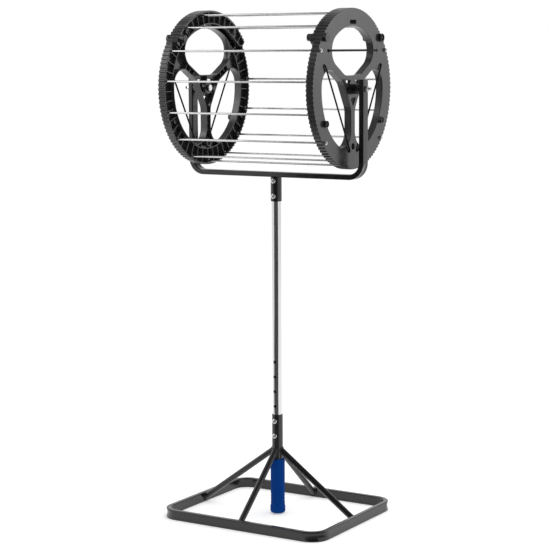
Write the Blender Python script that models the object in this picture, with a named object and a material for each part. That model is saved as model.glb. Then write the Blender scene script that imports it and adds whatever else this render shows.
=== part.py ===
"""Tennis ball cart: a wire drum that rolls between the arms of a fork, on a pole with a stand.

Metres, +Z up. X runs along the drum's axle, Y goes from front to back, and the
origin is on the floor under the pole.
"""

import math

import bmesh
import bpy
from mathutils import Matrix, Vector

# How finely round parts are drawn
FINE_SIDES = 16
SMALL_SIDES = 12
HOLE_SIDES = 10
POLE_SIDES = 24
WIRE_SIDES = 8
STRUT_SIDES = 14
RIM_STEP = math.radians(5)
FILLET_STEP = math.radians(18)
BEND_STEPS = 6
GUARD_BEND_STEPS = 2
ROUNDING_STEPS = 4
CORNER_STEPS = 2
SHARP_ANGLE = math.radians(35)

# Clearances
GAP = 0.0003
SLIDE_GAP = 0.0004
CUT_OVERRUN = 0.004

# Drum
AXLE_HEIGHT = 0.8524
DRUM_RADIUS = 0.153
DRUM_LENGTH = 0.346
DISC_THICKNESS = 0.015
DISC_EDGE_CHAMFER = 0.001
RING_WIDTH = 0.034
SPOKE_WIDTH = 0.015
SPOKE_COUNT = 3
WINDOW_FILLET = 0.031
HUB_FLAT_DISTANCE = 0.0258
HUB_FILLET = 0.025

# Ribbed pockets on the inner side of each end disc
DISC_POCKET_RIM = 0.004
DISC_POCKET_WIDTH = 0.018
DISC_POCKET_DEPTH = 0.0025
DISC_RIB_WIDTH = 0.007
DISC_RIBS_PER_WIRE = 2

# Deep cores behind the hatch, which keep the drum in balance
CORE_COUNT = 6
CORE_WALL = 0.0025
CORE_FACE_PLATE = 0.0035
CORE_RIB_WIDTH = 0.003

# Openings in the outer face of each end disc
TOP_SLOT_INSET = 0.0265
TOP_SLOT_WIDTH = 0.024
TOP_SLOT_HEIGHT = 0.0072
SPOKE_HOLE_INSET = 0.044
SPOKE_HOLE_RADIUS = 0.006
HUB_HOLE_BASE = 0.0165
HUB_HOLE_TIP = 0.033
HUB_HOLE_HALF_WIDTH = 0.0105
HUB_WEB_THICKNESS = 0.005
HUB_POCKET_BASE = 0.0135
HUB_POCKET_TIP = 0.042
HUB_POCKET_HALF_WIDTH = 0.0145

# Cage wires and tie bolts
WIRE_COUNT = 15
WIRE_INSET = 0.007
WIRE_RADIUS = 0.0021
WIRE_SEAT_DEPTH = 0.008
TIE_RADIUS = 0.0021
TIE_HEAD_RADIUS = 0.0042
TIE_HEAD_THICKNESS = 0.0036
TIE_HEAD_CHAMFER = 0.001
TIE_END_LENGTH = 0.0014
TIE_PLACES = (2, 5)
HATCH_PLACES = (0, 1)

# Guard rods across the windows
GUARD_RADIUS = 0.0017
GUARD_INSET = 0.0338
GUARD_SPREAD = math.radians(52.5)
GUARD_STANDOFF = 0.0006
GUARD_BEND = 0.0028
GUARD_SEAT_DEPTH = 0.007

# Pins of the hatch, and the plugs below them
PIN_INSET = 0.008
PIN_ANGLE = math.radians(48)
PIN_RADIUS = 0.003
PIN_HEAD_RADIUS = 0.008
PIN_HEAD_THICKNESS = 0.0058
INNER_HEAD_RADIUS = 0.007
INNER_HEAD_LENGTH = 0.011
HEAD_CHAMFER = 0.0015
PLUG_INSET = 0.028
PLUG_ANGLE = math.radians(120)
PLUG_HEAD_RADIUS = 0.0065
PLUG_HEAD_THICKNESS = 0.0058
PLUG_SEAT_DEPTH = 0.008

# Hatch
HATCH_ARC_THICKNESS = 0.0087
HATCH_BAND_WIDTH = 0.0265
HATCH_LOBE_RADIUS = 0.015
HATCH_SHOULDER_ANGLE = math.radians(37)
HATCH_WALL = 0.0025
HATCH_RIB_WIDTH = 0.0022
HATCH_RIBS_PER_WIRE = 3
HATCH_SEAT_RIB_WIDTH = 0.0066
HATCH_SEAT_WALL = 0.0012
HOOK_CLEARANCE = 0.001

# Hub bushes and axle bolts
BUSH_BODY_RADIUS = 0.008
BUSH_BARREL_RADIUS = 0.0095
BUSH_FLANGE_THICKNESS = 0.003
BUSH_FLANGE_HALF_WIDTH = 0.0225
BUSH_FLANGE_HALF_HEIGHT = 0.0097
BUSH_FLANGE_CHAMFER = 0.005
AXLE_RADIUS = 0.003
AXLE_HEAD_RADIUS = 0.0065
AXLE_HEAD_THICKNESS = 0.005
AXLE_CHAMFER = 0.001
AXLE_NUT_RADIUS = 0.0064
AXLE_NUT_THICKNESS = 0.006
AXLE_TIP_LENGTH = 0.006

# Fork
FORK_TUBE_DEPTH = 0.020
FORK_TUBE_THICKNESS = 0.0104
FORK_TUBE_CORNER = 0.002
FORK_TUBE_WALL = 0.0012
FORK_BEND_RADIUS = 0.028
FORK_SIDE_CLEARANCE = 0.0171
FORK_BAR_CLEARANCE = 0.0099
FORK_ARM_ABOVE_AXLE = 0.016
CAP_THICKNESS = 0.0018
CAP_EDGE = 0.0005
CAP_PLUG_LENGTH = 0.008
SOCKET_LENGTH = 0.0475

# Pole
POLE_RADIUS = 0.0095
POLE_WALL = 0.0012
POLE_BELOW_LOWEST_HOLE = 0.018
POLE_TOP_CLEARANCE = 0.0015
HOLE_PITCH = 0.030
HOLE_RADIUS = 0.0031
HEIGHT_STEPS = 4

# Screws of the pole's two sleeves
SLEEVE_WALL = 0.0011
SCREW_RADIUS = 0.0026
SCREW_HEAD_RADIUS = 0.005
SCREW_HEAD_HEIGHT = 0.003
SCREW_BELOW_SOCKET_TOP = 0.007
SCREW_PITCH = 0.030

# Stand
STAND_TUBE_TOP = 0.2034
STAND_SCREW_BELOW_TOP = 0.0132
GRIP_FLOOR_GAP = 0.0015
GRIP_BOTTOM_THICKNESS = 0.010
GRIP_TOP = 0.1127
GRIP_TOP_RADIUS = 0.0145
GRIP_WAIST_RADIUS = 0.0141
GRIP_BUTT_RADIUS = 0.0152
GRIP_BUTT_TOP = 0.019
GRIP_BUTT_SLOPE = 0.004
GRIP_ROUNDING = 0.005
GRIP_GROOVE_HEIGHTS = (0.027, 0.0335, 0.040)
GRIP_GROOVE_DEPTH = 0.0006
GRIP_GROOVE_WIDTH = 0.003
STRUT_RADIUS = 0.006
STRUT_WALL = 0.001
STRUT_ORIGIN_HEIGHT = 0.137
STRUT_FOOT_HEIGHT = 0.0105
BASE_LENGTH = 0.370
BASE_DEPTH = 0.306
BASE_TUBE_HEIGHT = 0.020
BASE_TUBE_THICKNESS = 0.010
BASE_TUBE_CORNER = 0.002
BASE_TUBE_WALL = 0.0012
BASE_BEND_RADIUS = 0.032
BEND_PINCH = 0.0018
VENT_RADIUS = 0.003

# Places worked out from the sizes above
RING_INNER_RADIUS = DRUM_RADIUS - RING_WIDTH
WIRE_CIRCLE = DRUM_RADIUS - WIRE_INSET
GUARD_CIRCLE = DRUM_RADIUS - GUARD_INSET
PIN_CIRCLE = DRUM_RADIUS - PIN_INSET
PLUG_CIRCLE = DRUM_RADIUS - PLUG_INSET
HATCH_INNER_RADIUS = DRUM_RADIUS - HATCH_BAND_WIDTH
DISC_POCKET_OUTER = DRUM_RADIUS - DISC_POCKET_RIM
DISC_POCKET_INNER = DISC_POCKET_OUTER - DISC_POCKET_WIDTH
DISC_FACE = DRUM_LENGTH / 2
DISC_BACK = DISC_FACE - DISC_THICKNESS
HATCH_FACE = DISC_BACK - GAP
HATCH_BACK = HATCH_FACE - HATCH_ARC_THICKNESS
WIRE_PITCH = math.tau / WIRE_COUNT
DISC_RIB_PITCH = WIRE_PITCH / DISC_RIBS_PER_WIRE
HATCH_RIB_PITCH = WIRE_PITCH / HATCH_RIBS_PER_WIRE
ARM_INNER = DISC_FACE + FORK_SIDE_CLEARANCE
ARM_OUTER = ARM_INNER + FORK_TUBE_THICKNESS
BAR_TOP = AXLE_HEIGHT - DRUM_RADIUS - FORK_BAR_CLEARANCE
BAR_BOTTOM = BAR_TOP - FORK_TUBE_THICKNESS
ARM_TOP = AXLE_HEIGHT + FORK_ARM_ABOVE_AXLE
SLEEVE_BORE = POLE_RADIUS + SLIDE_GAP
SLEEVE_RADIUS = SLEEVE_BORE + SLEEVE_WALL
SOCKET_TOP = BAR_BOTTOM - GAP
SOCKET_BOTTOM = SOCKET_TOP - SOCKET_LENGTH
POLE_TOP = SOCKET_TOP - POLE_TOP_CLEARANCE
SOCKET_SCREWS = [SOCKET_TOP - SCREW_BELOW_SOCKET_TOP - n * SCREW_PITCH for n in range(2)]
STAND_SCREWS = [STAND_TUBE_TOP - STAND_SCREW_BELOW_TOP - n * HOLE_PITCH for n in range(2)]
POLE_HOLES = [STAND_SCREWS[1] + n * HOLE_PITCH for n in range(HEIGHT_STEPS + 2)]
POLE_BOTTOM = STAND_SCREWS[1] - POLE_BELOW_LOWEST_HOLE
STAND_TUBE_BOTTOM = GRIP_FLOOR_GAP + GRIP_BOTTOM_THICKNESS + GAP
BASE_INNER_X = BASE_LENGTH / 2 - BASE_TUBE_THICKNESS
BASE_INNER_Y = BASE_DEPTH / 2 - BASE_TUBE_THICKNESS


def clear_scene():
    for obj in list(bpy.data.objects):
        bpy.data.objects.remove(obj, do_unlink=True)


def make_material(name, colour, roughness, metallic):
    material = bpy.data.materials.new(name)
    material.use_nodes = True
    shader = material.node_tree.nodes["Principled BSDF"]
    shader.inputs["Base Color"].default_value = (*colour, 1.0)
    shader.inputs["Roughness"].default_value = roughness
    shader.inputs["Metallic"].default_value = metallic
    return material


def make_frame(name, place, parent=None):
    """An empty that carries the pieces of one body."""
    frame = bpy.data.objects.new(name, None)
    bpy.context.scene.collection.objects.link(frame)
    frame.parent = parent
    frame.location = place
    return frame


def make_piece(name, shape, parent, material=None, offset=(0, 0, 0)):
    """Turns a bmesh into an object with smooth round faces and sharp edges."""
    bmesh.ops.recalc_face_normals(shape, faces=shape.faces)
    mesh = bpy.data.meshes.new(name)
    shape.to_mesh(mesh)
    shape.free()
    mesh.shade_smooth()
    mesh.set_sharp_from_angle(angle=SHARP_ANGLE)
    if material:
        mesh.materials.append(material)
    piece = bpy.data.objects.new(name, mesh)
    bpy.context.scene.collection.objects.link(piece)
    piece.parent = parent
    piece.location = offset
    return piece


def combine(piece, shape, operation):
    """Adds or cuts away a second shape, given in the same coordinates as the piece."""
    helper = make_piece(f"{piece.name}_{operation.lower()}_{len(piece.modifiers)}", shape, piece.parent)
    helper.location = piece.location
    helper.hide_render = True
    helper.display_type = "WIRE"
    boolean = piece.modifiers.new(operation.title(), "BOOLEAN")
    boolean.operation = operation
    boolean.solver = "EXACT"
    boolean.object = helper


def polar(radius, angle):
    """Y and Z of a place on the drum, with the angle measured from the top towards the back."""
    return radius * math.sin(angle), radius * math.cos(angle)


def arc(centre, radius, start, end, step):
    """Points (y, z) along an arc, about one step of angle apart, measured as on the drum."""
    steps = max(1, round(abs(end - start) / step))
    points = []
    for n in range(steps + 1):
        y, z = polar(radius, start + (end - start) * n / steps)
        points.append((centre[0] + y, centre[1] + z))
    return points


def axis_matrix(start, end):
    """A frame whose Z runs from start to end."""
    along = Vector(end) - Vector(start)
    return Matrix.Translation(start) @ along.to_track_quat("Z", "Y").to_matrix().to_4x4()


def add_rod(shape, start, end, radius, sides):
    """A round bar whose flats, not its corners, face the symmetry planes of the cart."""
    length = (Vector(end) - Vector(start)).length
    half_step = Matrix.Rotation(math.pi / sides, 4, "Z")
    middle = axis_matrix(start, end) @ half_step @ Matrix.Translation((0, 0, length / 2))
    bmesh.ops.create_cone(
        shape, cap_ends=True, segments=sides, radius1=radius, radius2=radius, depth=length, matrix=middle
    )


def add_turned(shape, profile, start, end, sides, hollow=False):
    """Turns (radius, distance) points about the axis from start; the ends are capped unless hollow."""
    frame = axis_matrix(start, end)
    loops = []
    for radius, along in profile:
        angles = [math.tau * n / sides for n in range(sides)]
        loops.append([frame @ Vector((radius * math.cos(a), radius * math.sin(a), along)) for a in angles])
    add_loft(shape, loops, closed=hollow)


def add_prism(shape, outline, x0, x1):
    """Extrudes an outline of (y, z) points along X."""
    face = shape.faces.new([shape.verts.new((x0, y, z)) for y, z in outline])
    grown = bmesh.ops.extrude_face_region(shape, geom=[face])
    verts = [item for item in grown["geom"] if isinstance(item, bmesh.types.BMVert)]
    bmesh.ops.translate(shape, verts=verts, vec=(x1 - x0, 0, 0))


def tube_section(thickness, depth, corner, steps, dip):
    """(outward, across) points of a rectangular tube, whose outward wall sinks by dip in its middle."""
    half_out = thickness / 2
    half_across = depth / 2
    points = []
    for turn, (side_out, side_across) in enumerate(((1, 1), (-1, 1), (-1, -1), (1, -1))):
        centre = (side_out * (half_out - corner), side_across * (half_across - corner))
        for n in range(steps + 1):
            angle = (turn + n / steps) * math.pi / 2
            points.append((centre[0] + corner * math.cos(angle), centre[1] + corner * math.sin(angle)))
    points.append((half_out - dip, 0))
    return points


def add_loft(shape, loops, closed=False):
    """Joins loops of points into a skin, with end faces unless the path is closed."""
    rings = [[shape.verts.new(point) for point in loop] for loop in loops]
    count = len(rings[0])
    pairs = list(zip(rings, rings[1:]))
    if closed:
        pairs.append((rings[-1], rings[0]))
    for one, other in pairs:
        for n in range(count):
            after = (n + 1) % count
            shape.faces.new((one[n], one[after], other[after], other[n]))
    if not closed:
        shape.faces.new(rings[0])
        shape.faces.new(rings[-1])


def bend_stations(centre, radius, start, end):
    """Stations (place, outward direction, pinch share) round one bend, in its own plane."""
    stations = []
    for n in range(BEND_STEPS + 1):
        share = n / BEND_STEPS
        angle = start + (end - start) * share
        outward = (math.cos(angle), math.sin(angle))
        place = (centre[0] + radius * outward[0], centre[1] + radius * outward[1])
        stations.append((place, outward, math.sin(math.pi * share)))
    return stations


def tube_loops(stations, to_world, thickness, depth, corner, steps):
    """Sections of a rectangular tube at each station, where to_world takes (u, v, across)."""
    loops = []
    for place, outward, share in stations:
        loop = []
        for out, across in tube_section(thickness, depth, corner, steps, BEND_PINCH * share):
            loop.append(to_world(place[0] + out * outward[0], place[1] + out * outward[1], across))
        loops.append(loop)
    return loops


def window_outline():
    """The window between two spokes, centred on the top, with a flat end towards the hub."""
    half = SPOKE_WIDTH / 2
    half_window = math.pi / SPOKE_COUNT
    reach = RING_INNER_RADIUS - WINDOW_FILLET
    lean = math.asin((half + WINDOW_FILLET) / reach)
    corner = polar(reach, half_window - lean)
    outer = arc((0, 0), RING_INNER_RADIUS, -(half_window - lean), half_window - lean, RIM_STEP)[1:-1]
    rim_end = arc(corner, WINDOW_FILLET, half_window - lean, half_window + math.pi / 2, FILLET_STEP)
    above_flat = HUB_FLAT_DISTANCE + HUB_FILLET
    aside = (above_flat * math.sin(half_window) - half - HUB_FILLET) / math.cos(half_window)
    bend = (aside, above_flat)
    hub_end = arc(bend, HUB_FILLET, half_window + math.pi / 2, math.pi, FILLET_STEP)
    right = rim_end + hub_end
    left = [(-y, z) for y, z in reversed(right)]
    return left + outer + right


def turned_outline(outline, angle):
    """The outline turned about the drum's axis, from the top towards the back."""
    cos = math.cos(angle)
    sin = math.sin(angle)
    return [(y * cos + z * sin, z * cos - y * sin) for y, z in outline]


def pocket_outline(inner, outer, start, end, rib_start, rib_end):
    """A pocket between two radial ribs, whose sides stay parallel to the ribs."""
    far_start = start + math.asin(rib_start / outer)
    far_end = end - math.asin(rib_end / outer)
    near_start = start + math.asin(rib_start / inner)
    near_end = end - math.asin(rib_end / inner)
    far = arc((0, 0), outer, far_start, far_end, RIM_STEP)
    near = arc((0, 0), inner, near_end, near_start, RIM_STEP)
    return far + near


def triangle(base, tip, half_width):
    """A triangle on a spoke's centre line, with its tip away from the hub."""
    return [(-half_width, base), (half_width, base), (0, tip)]


def circle(centre, radius, sides):
    return arc(centre, radius, 0, math.tau, math.tau / sides)[:-1]


def disc_cutters(side):
    """Everything that is cut out of one end disc."""
    cuts = bmesh.new()
    outside = side * (DISC_FACE + CUT_OVERRUN)
    inside = side * (DISC_BACK - CUT_OVERRUN)
    for n in range(SPOKE_COUNT):
        turn = math.tau * n / SPOKE_COUNT
        add_prism(cuts, turned_outline(window_outline(), turn), inside, outside)
        spoke = turn + math.pi / SPOKE_COUNT
        pocket = triangle(HUB_POCKET_BASE, HUB_POCKET_TIP, HUB_POCKET_HALF_WIDTH)
        add_prism(cuts, turned_outline(pocket, spoke), inside, side * (DISC_FACE - HUB_WEB_THICKNESS))
        for lean in (-GUARD_SPREAD, GUARD_SPREAD):
            y, z = polar(GUARD_CIRCLE, turn + lean)
            seat = side * (DISC_FACE - GUARD_SEAT_DEPTH - GAP)
            add_rod(cuts, (seat, y, z), (outside, y, z), GUARD_RADIUS + GAP, WIRE_SIDES)
    slot_low = DRUM_RADIUS - TOP_SLOT_INSET - TOP_SLOT_HEIGHT / 2
    slot_high = slot_low + TOP_SLOT_HEIGHT
    half_slot = TOP_SLOT_WIDTH / 2
    slot = [(-half_slot, slot_low), (half_slot, slot_low), (half_slot, slot_high), (-half_slot, slot_high)]
    add_prism(cuts, slot, inside, outside)
    spoke_hole = circle((0, SPOKE_HOLE_INSET - DRUM_RADIUS), SPOKE_HOLE_RADIUS, FINE_SIDES)
    add_prism(cuts, spoke_hole, inside, outside)
    add_rod(cuts, (inside, 0, 0), (outside, 0, 0), BUSH_BODY_RADIUS + GAP, FINE_SIDES)
    for sign in (-1, 1):
        y, z = polar(PIN_CIRCLE, sign * PIN_ANGLE)
        add_rod(cuts, (inside, y, z), (outside, y, z), PIN_RADIUS + GAP, SMALL_SIDES)
        y, z = polar(PLUG_CIRCLE, sign * PLUG_ANGLE)
        seat = side * (DISC_FACE - PLUG_SEAT_DEPTH - GAP)
        add_rod(cuts, (seat, y, z), (outside, y, z), PIN_RADIUS + GAP, SMALL_SIDES)
    for angle, kind in wire_places():
        y, z = polar(WIRE_CIRCLE, angle)
        if kind == "tie":
            add_rod(cuts, (inside, y, z), (outside, y, z), TIE_RADIUS + GAP, HOLE_SIDES)
        elif kind == "wire":
            seat = side * (DISC_BACK + WIRE_SEAT_DEPTH + GAP)
            add_rod(cuts, (inside, y, z), (seat, y, z), WIRE_RADIUS + GAP, WIRE_SIDES)
    half_rib = DISC_RIB_WIDTH / 2
    floor = side * (DISC_BACK + DISC_POCKET_DEPTH)
    first = WIRE_PITCH * (TIE_PLACES[0] + 0.5)
    for n in range(round((math.tau - 2 * first) / DISC_RIB_PITCH)):
        start = first + n * DISC_RIB_PITCH
        end = start + DISC_RIB_PITCH
        outline = pocket_outline(DISC_POCKET_INNER, DISC_POCKET_OUTER, start, end, half_rib, half_rib)
        add_prism(cuts, outline, inside, floor)
    half_rib = CORE_RIB_WIDTH / 2
    floor = side * (DISC_FACE - CORE_FACE_PLATE)
    slot_end = math.asin(half_slot / slot_low)
    for n in range(CORE_COUNT):
        start = (n - CORE_COUNT / 2) * DISC_RIB_PITCH
        end = start + DISC_RIB_PITCH
        above_slot = start < slot_end and end > -slot_end
        core_inner = (slot_high if above_slot else RING_INNER_RADIUS) + CORE_WALL
        outline = pocket_outline(core_inner, DRUM_RADIUS - CORE_WALL, start, end, half_rib, half_rib)
        add_prism(cuts, outline, inside, floor)
    return cuts


def hub_holes(side):
    """The triangular holes through the thin web between the hub and each spoke."""
    cuts = bmesh.new()
    hole = triangle(HUB_HOLE_BASE, HUB_HOLE_TIP, HUB_HOLE_HALF_WIDTH)
    for n in range(SPOKE_COUNT):
        spoke = (n + 0.5) * math.tau / SPOKE_COUNT
        web_back = side * (DISC_FACE - HUB_WEB_THICKNESS - CUT_OVERRUN)
        add_prism(cuts, turned_outline(hole, spoke), web_back, side * (DISC_FACE + CUT_OVERRUN))
    return cuts


def wire_places():
    """(angle from the top, kind) of each cage wire: on the hatch, a tie bolt or fixed."""
    places = []
    for n in range(WIRE_COUNT):
        angle = WIRE_PITCH * (n + 0.5)
        order = min(n, WIRE_COUNT - 1 - n)
        if order in HATCH_PLACES:
            kind = "hatch"
        elif order in TIE_PLACES:
            kind = "tie"
        else:
            kind = "wire"
        places.append((angle, kind))
    return places


def build_end_disc(name, side, parent, material):
    rim = DRUM_RADIUS - DISC_EDGE_CHAMFER
    profile = [
        (rim, DISC_BACK),
        (DRUM_RADIUS, DISC_BACK + DISC_EDGE_CHAMFER),
        (DRUM_RADIUS, DISC_FACE - DISC_EDGE_CHAMFER),
        (rim, DISC_FACE),
    ]
    shape = bmesh.new()
    add_turned(shape, profile, (0, 0, 0), (side, 0, 0), round(math.tau / RIM_STEP))
    disc = make_piece(name, shape, parent, material)
    combine(disc, disc_cutters(side), "DIFFERENCE")
    combine(disc, hub_holes(side), "DIFFERENCE")
    return disc


def build_hub_bush(name, side, parent, material):
    """A bush in the hub, with a long flange on the disc and a barrel that reaches the fork's arm."""
    bore = AXLE_RADIUS + SLIDE_GAP
    flange_top = DISC_FACE + GAP + BUSH_FLANGE_THICKNESS
    profile = [
        (bore, DISC_BACK + GAP),
        (BUSH_BODY_RADIUS, DISC_BACK + GAP),
        (BUSH_BODY_RADIUS, DISC_FACE + GAP * 2),
        (BUSH_BARREL_RADIUS, DISC_FACE + GAP * 2),
        (BUSH_BARREL_RADIUS, ARM_INNER - SLIDE_GAP),
        (bore, ARM_INNER - SLIDE_GAP),
    ]
    shape = bmesh.new()
    add_turned(shape, profile, (0, 0, 0), (side, 0, 0), FINE_SIDES, hollow=True)
    bush = make_piece(name, shape, parent, material)
    wide = BUSH_FLANGE_HALF_WIDTH
    high = BUSH_FLANGE_HALF_HEIGHT
    corner = BUSH_FLANGE_CHAMFER
    quarter = [(wide, high - corner), (wide - corner, high)]
    outline = quarter + [(-y, z) for y, z in reversed(quarter)]
    outline += [(-y, -z) for y, z in outline]
    flange = bmesh.new()
    add_prism(flange, outline, side * (DISC_FACE + GAP), side * flange_top)
    combine(bush, flange, "UNION")
    hole = bmesh.new()
    add_rod(hole, (side * DISC_BACK, 0, 0), (side * (flange_top + CUT_OVERRUN), 0, 0), bore, FINE_SIDES)
    combine(bush, hole, "DIFFERENCE")
    return bush


def build_wire(name, angle, reach, radius, parent, material):
    y, z = polar(WIRE_CIRCLE, angle)
    shape = bmesh.new()
    add_rod(shape, (-reach, y, z), (reach, y, z), radius, WIRE_SIDES)
    return make_piece(name, shape, parent, material)


def build_tie_bolt(name, angle, parent, material):
    """A cage wire made as a long bolt, with its head on the left disc."""
    y, z = polar(WIRE_CIRCLE, angle)
    head = DISC_FACE + GAP
    length = 2 * head + 2 * TIE_HEAD_THICKNESS + TIE_END_LENGTH
    profile = [
        (TIE_HEAD_RADIUS - TIE_HEAD_CHAMFER, 0),
        (TIE_HEAD_RADIUS, TIE_HEAD_CHAMFER),
        (TIE_HEAD_RADIUS, TIE_HEAD_THICKNESS),
        (TIE_RADIUS, TIE_HEAD_THICKNESS),
        (TIE_RADIUS, length),
    ]
    start = (-head - TIE_HEAD_THICKNESS, y, z)
    shape = bmesh.new()
    add_turned(shape, profile, start, (0, y, z), HOLE_SIDES)
    return make_piece(name, shape, parent, material)


def build_tie_nut(name, angle, parent, material):
    y, z = polar(WIRE_CIRCLE, angle)
    bore = TIE_RADIUS + GAP
    profile = [
        (bore, 0),
        (TIE_HEAD_RADIUS, 0),
        (TIE_HEAD_RADIUS, TIE_HEAD_THICKNESS - TIE_HEAD_CHAMFER),
        (TIE_HEAD_RADIUS - TIE_HEAD_CHAMFER, TIE_HEAD_THICKNESS),
        (bore, TIE_HEAD_THICKNESS),
    ]
    start = (DISC_FACE + GAP, y, z)
    shape = bmesh.new()
    add_turned(shape, profile, start, (start[0] + 1, y, z), HOLE_SIDES, hollow=True)
    return make_piece(name, shape, parent, material)


def build_guard_rod(name, side, turn, parent, material):
    """A rod across one window, with both ends bent into the disc."""
    standoff = DISC_FACE + GUARD_STANDOFF + GUARD_RADIUS
    seat = DISC_FACE - GUARD_SEAT_DEPTH
    ends = [Vector((0, *polar(GUARD_CIRCLE, turn + lean))) for lean in (-GUARD_SPREAD, GUARD_SPREAD)]
    along = (ends[1] - ends[0]).normalized()
    across = Vector((side, 0, 0)).cross(along)
    steps = GUARD_BEND_STEPS
    stations = [(ends[0] + Vector((side * seat, 0, 0)), Vector((side, 0, 0)))]
    for end, way, order in ((ends[0], along, range(steps + 1)), (ends[1], -along, range(steps, -1, -1))):
        for n in order:
            angle = n / steps * math.pi / 2
            inward = way * GUARD_BEND * (1 - math.cos(angle))
            outward = standoff - GUARD_BEND * (1 - math.sin(angle))
            heading = Vector((side, 0, 0)) * math.cos(angle) + way * math.sin(angle)
            if way != along:
                heading = -heading
            stations.append((end + inward + Vector((side * outward, 0, 0)), heading))
    stations.append((ends[1] + Vector((side * seat, 0, 0)), Vector((-side, 0, 0))))
    loops = []
    for place, heading in stations:
        normal = heading.cross(across)
        loop = []
        for n in range(WIRE_SIDES):
            angle = math.tau * n / WIRE_SIDES
            loop.append(place + GUARD_RADIUS * (across * math.cos(angle) + normal * math.sin(angle)))
        loops.append(loop)
    shape = bmesh.new()
    add_loft(shape, loops)
    return make_piece(name, shape, parent, material)


def build_pin(name, side, angle, inner_head, parent, material):
    """A black pin through the disc and the end of the hatch, with a head outside and perhaps one inside."""
    y, z = polar(PIN_CIRCLE, angle)
    top = DISC_FACE + GAP
    head = HATCH_BACK - GAP
    profile = [
        (PIN_HEAD_RADIUS - HEAD_CHAMFER, top + PIN_HEAD_THICKNESS),
        (PIN_HEAD_RADIUS, top + PIN_HEAD_THICKNESS - HEAD_CHAMFER),
        (PIN_HEAD_RADIUS, top),
        (PIN_RADIUS, top),
        (PIN_RADIUS, head),
    ]
    if inner_head:
        end = head - INNER_HEAD_LENGTH
        profile += [(INNER_HEAD_RADIUS, head), (INNER_HEAD_RADIUS, end + HEAD_CHAMFER)]
        profile.append((INNER_HEAD_RADIUS - HEAD_CHAMFER, end))
    shape = bmesh.new()
    add_turned(shape, profile, (0, y, z), (side, y, z), SMALL_SIDES)
    return make_piece(name, shape, parent, material)


def build_plug(name, side, angle, parent, material):
    y, z = polar(PLUG_CIRCLE, angle)
    top = DISC_FACE + GAP
    seat = DISC_FACE - PLUG_SEAT_DEPTH
    profile = [
        (PIN_RADIUS, seat),
        (PIN_RADIUS, top),
        (PLUG_HEAD_RADIUS, top),
        (PLUG_HEAD_RADIUS, top + PLUG_HEAD_THICKNESS - HEAD_CHAMFER),
        (PLUG_HEAD_RADIUS - HEAD_CHAMFER, top + PLUG_HEAD_THICKNESS),
    ]
    shape = bmesh.new()
    add_turned(shape, profile, (0, y, z), (side, y, z), SMALL_SIDES)
    return make_piece(name, shape, parent, material)


def hatch_arc_outline():
    """The hatch's side arc: a broad band that ends in a round lobe at each pin."""
    pin = polar(PIN_CIRCLE, PIN_ANGLE)
    shoulder = polar(HATCH_INNER_RADIUS, HATCH_SHOULDER_ANGLE)
    reach = (PIN_CIRCLE**2 + DRUM_RADIUS**2 - HATCH_LOBE_RADIUS**2) / (2 * PIN_CIRCLE * DRUM_RADIUS)
    end_angle = PIN_ANGLE + math.acos(reach)
    rim_end = polar(DRUM_RADIUS, end_angle)
    to_rim = math.atan2(rim_end[0] - pin[0], rim_end[1] - pin[1])
    offset = (shoulder[0] - pin[0], shoulder[1] - pin[1])
    distance = math.hypot(*offset)
    to_shoulder = math.atan2(*offset)
    tangent = to_shoulder - math.acos(HATCH_LOBE_RADIUS / distance)
    if tangent < to_rim:
        tangent += math.tau
    lobe = arc(pin, HATCH_LOBE_RADIUS, to_rim, tangent, FILLET_STEP)
    mirrored = [(-y, z) for y, z in reversed(lobe)]
    outer = arc((0, 0), DRUM_RADIUS, -end_angle, end_angle, RIM_STEP)[1:-1]
    inner = arc((0, 0), HATCH_INNER_RADIUS, HATCH_SHOULDER_ANGLE, -HATCH_SHOULDER_ANGLE, RIM_STEP)
    return outer + lobe + inner + mirrored


def hatch_cutters(side):
    """Pockets, seats, hinge bore and hook mouth of one hatch arc."""
    cuts = bmesh.new()
    open_side = side * (HATCH_BACK - CUT_OVERRUN)
    floor = side * (HATCH_FACE - HATCH_WALL)
    seats = [angle for angle, kind in wire_places() if kind == "hatch"]
    seats = sorted(angle - math.tau if angle > math.pi else angle for angle in seats)
    widths = []
    for n in range((len(seats) - 1) * HATCH_RIBS_PER_WIRE + 1):
        seated = n % HATCH_RIBS_PER_WIRE == 0
        rib = HATCH_SEAT_RIB_WIDTH if seated else HATCH_RIB_WIDTH
        widths.append((seats[0] + n * HATCH_RIB_PITCH, rib / 2))
    for (start, rib_start), (end, rib_end) in zip(widths, widths[1:]):
        outline = pocket_outline(
            HATCH_INNER_RADIUS + HATCH_WALL, DRUM_RADIUS - HATCH_WALL, start, end, rib_start, rib_end
        )
        add_prism(cuts, outline, open_side, floor)
    for angle in seats:
        y, z = polar(WIRE_CIRCLE, angle)
        seat = side * (HATCH_FACE - HATCH_SEAT_WALL + GAP)
        add_rod(cuts, (open_side, y, z), (seat, y, z), WIRE_RADIUS + GAP, WIRE_SIDES)
    through = side * (HATCH_FACE + CUT_OVERRUN)
    y, z = polar(PIN_CIRCLE, PIN_ANGLE)
    add_rod(cuts, (open_side, y, z), (through, y, z), PIN_RADIUS + SLIDE_GAP, SMALL_SIDES)
    mouth = PIN_RADIUS + HOOK_CLEARANCE
    hook = arc((-y, z), mouth, -math.pi / 2, math.pi / 2, FILLET_STEP)
    below = z - HATCH_LOBE_RADIUS - CUT_OVERRUN
    hook += [(-y + mouth, below), (-y - mouth, below)]
    add_prism(cuts, hook, open_side, through)
    return cuts


def build_hatch_arc(name, side, parent, offset, material):
    shape = bmesh.new()
    add_prism(shape, hatch_arc_outline(), side * HATCH_BACK, side * HATCH_FACE)
    hatch_arc = make_piece(name, shape, parent, material, offset)
    combine(hatch_arc, hatch_cutters(side), "DIFFERENCE")
    return hatch_arc


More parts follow.
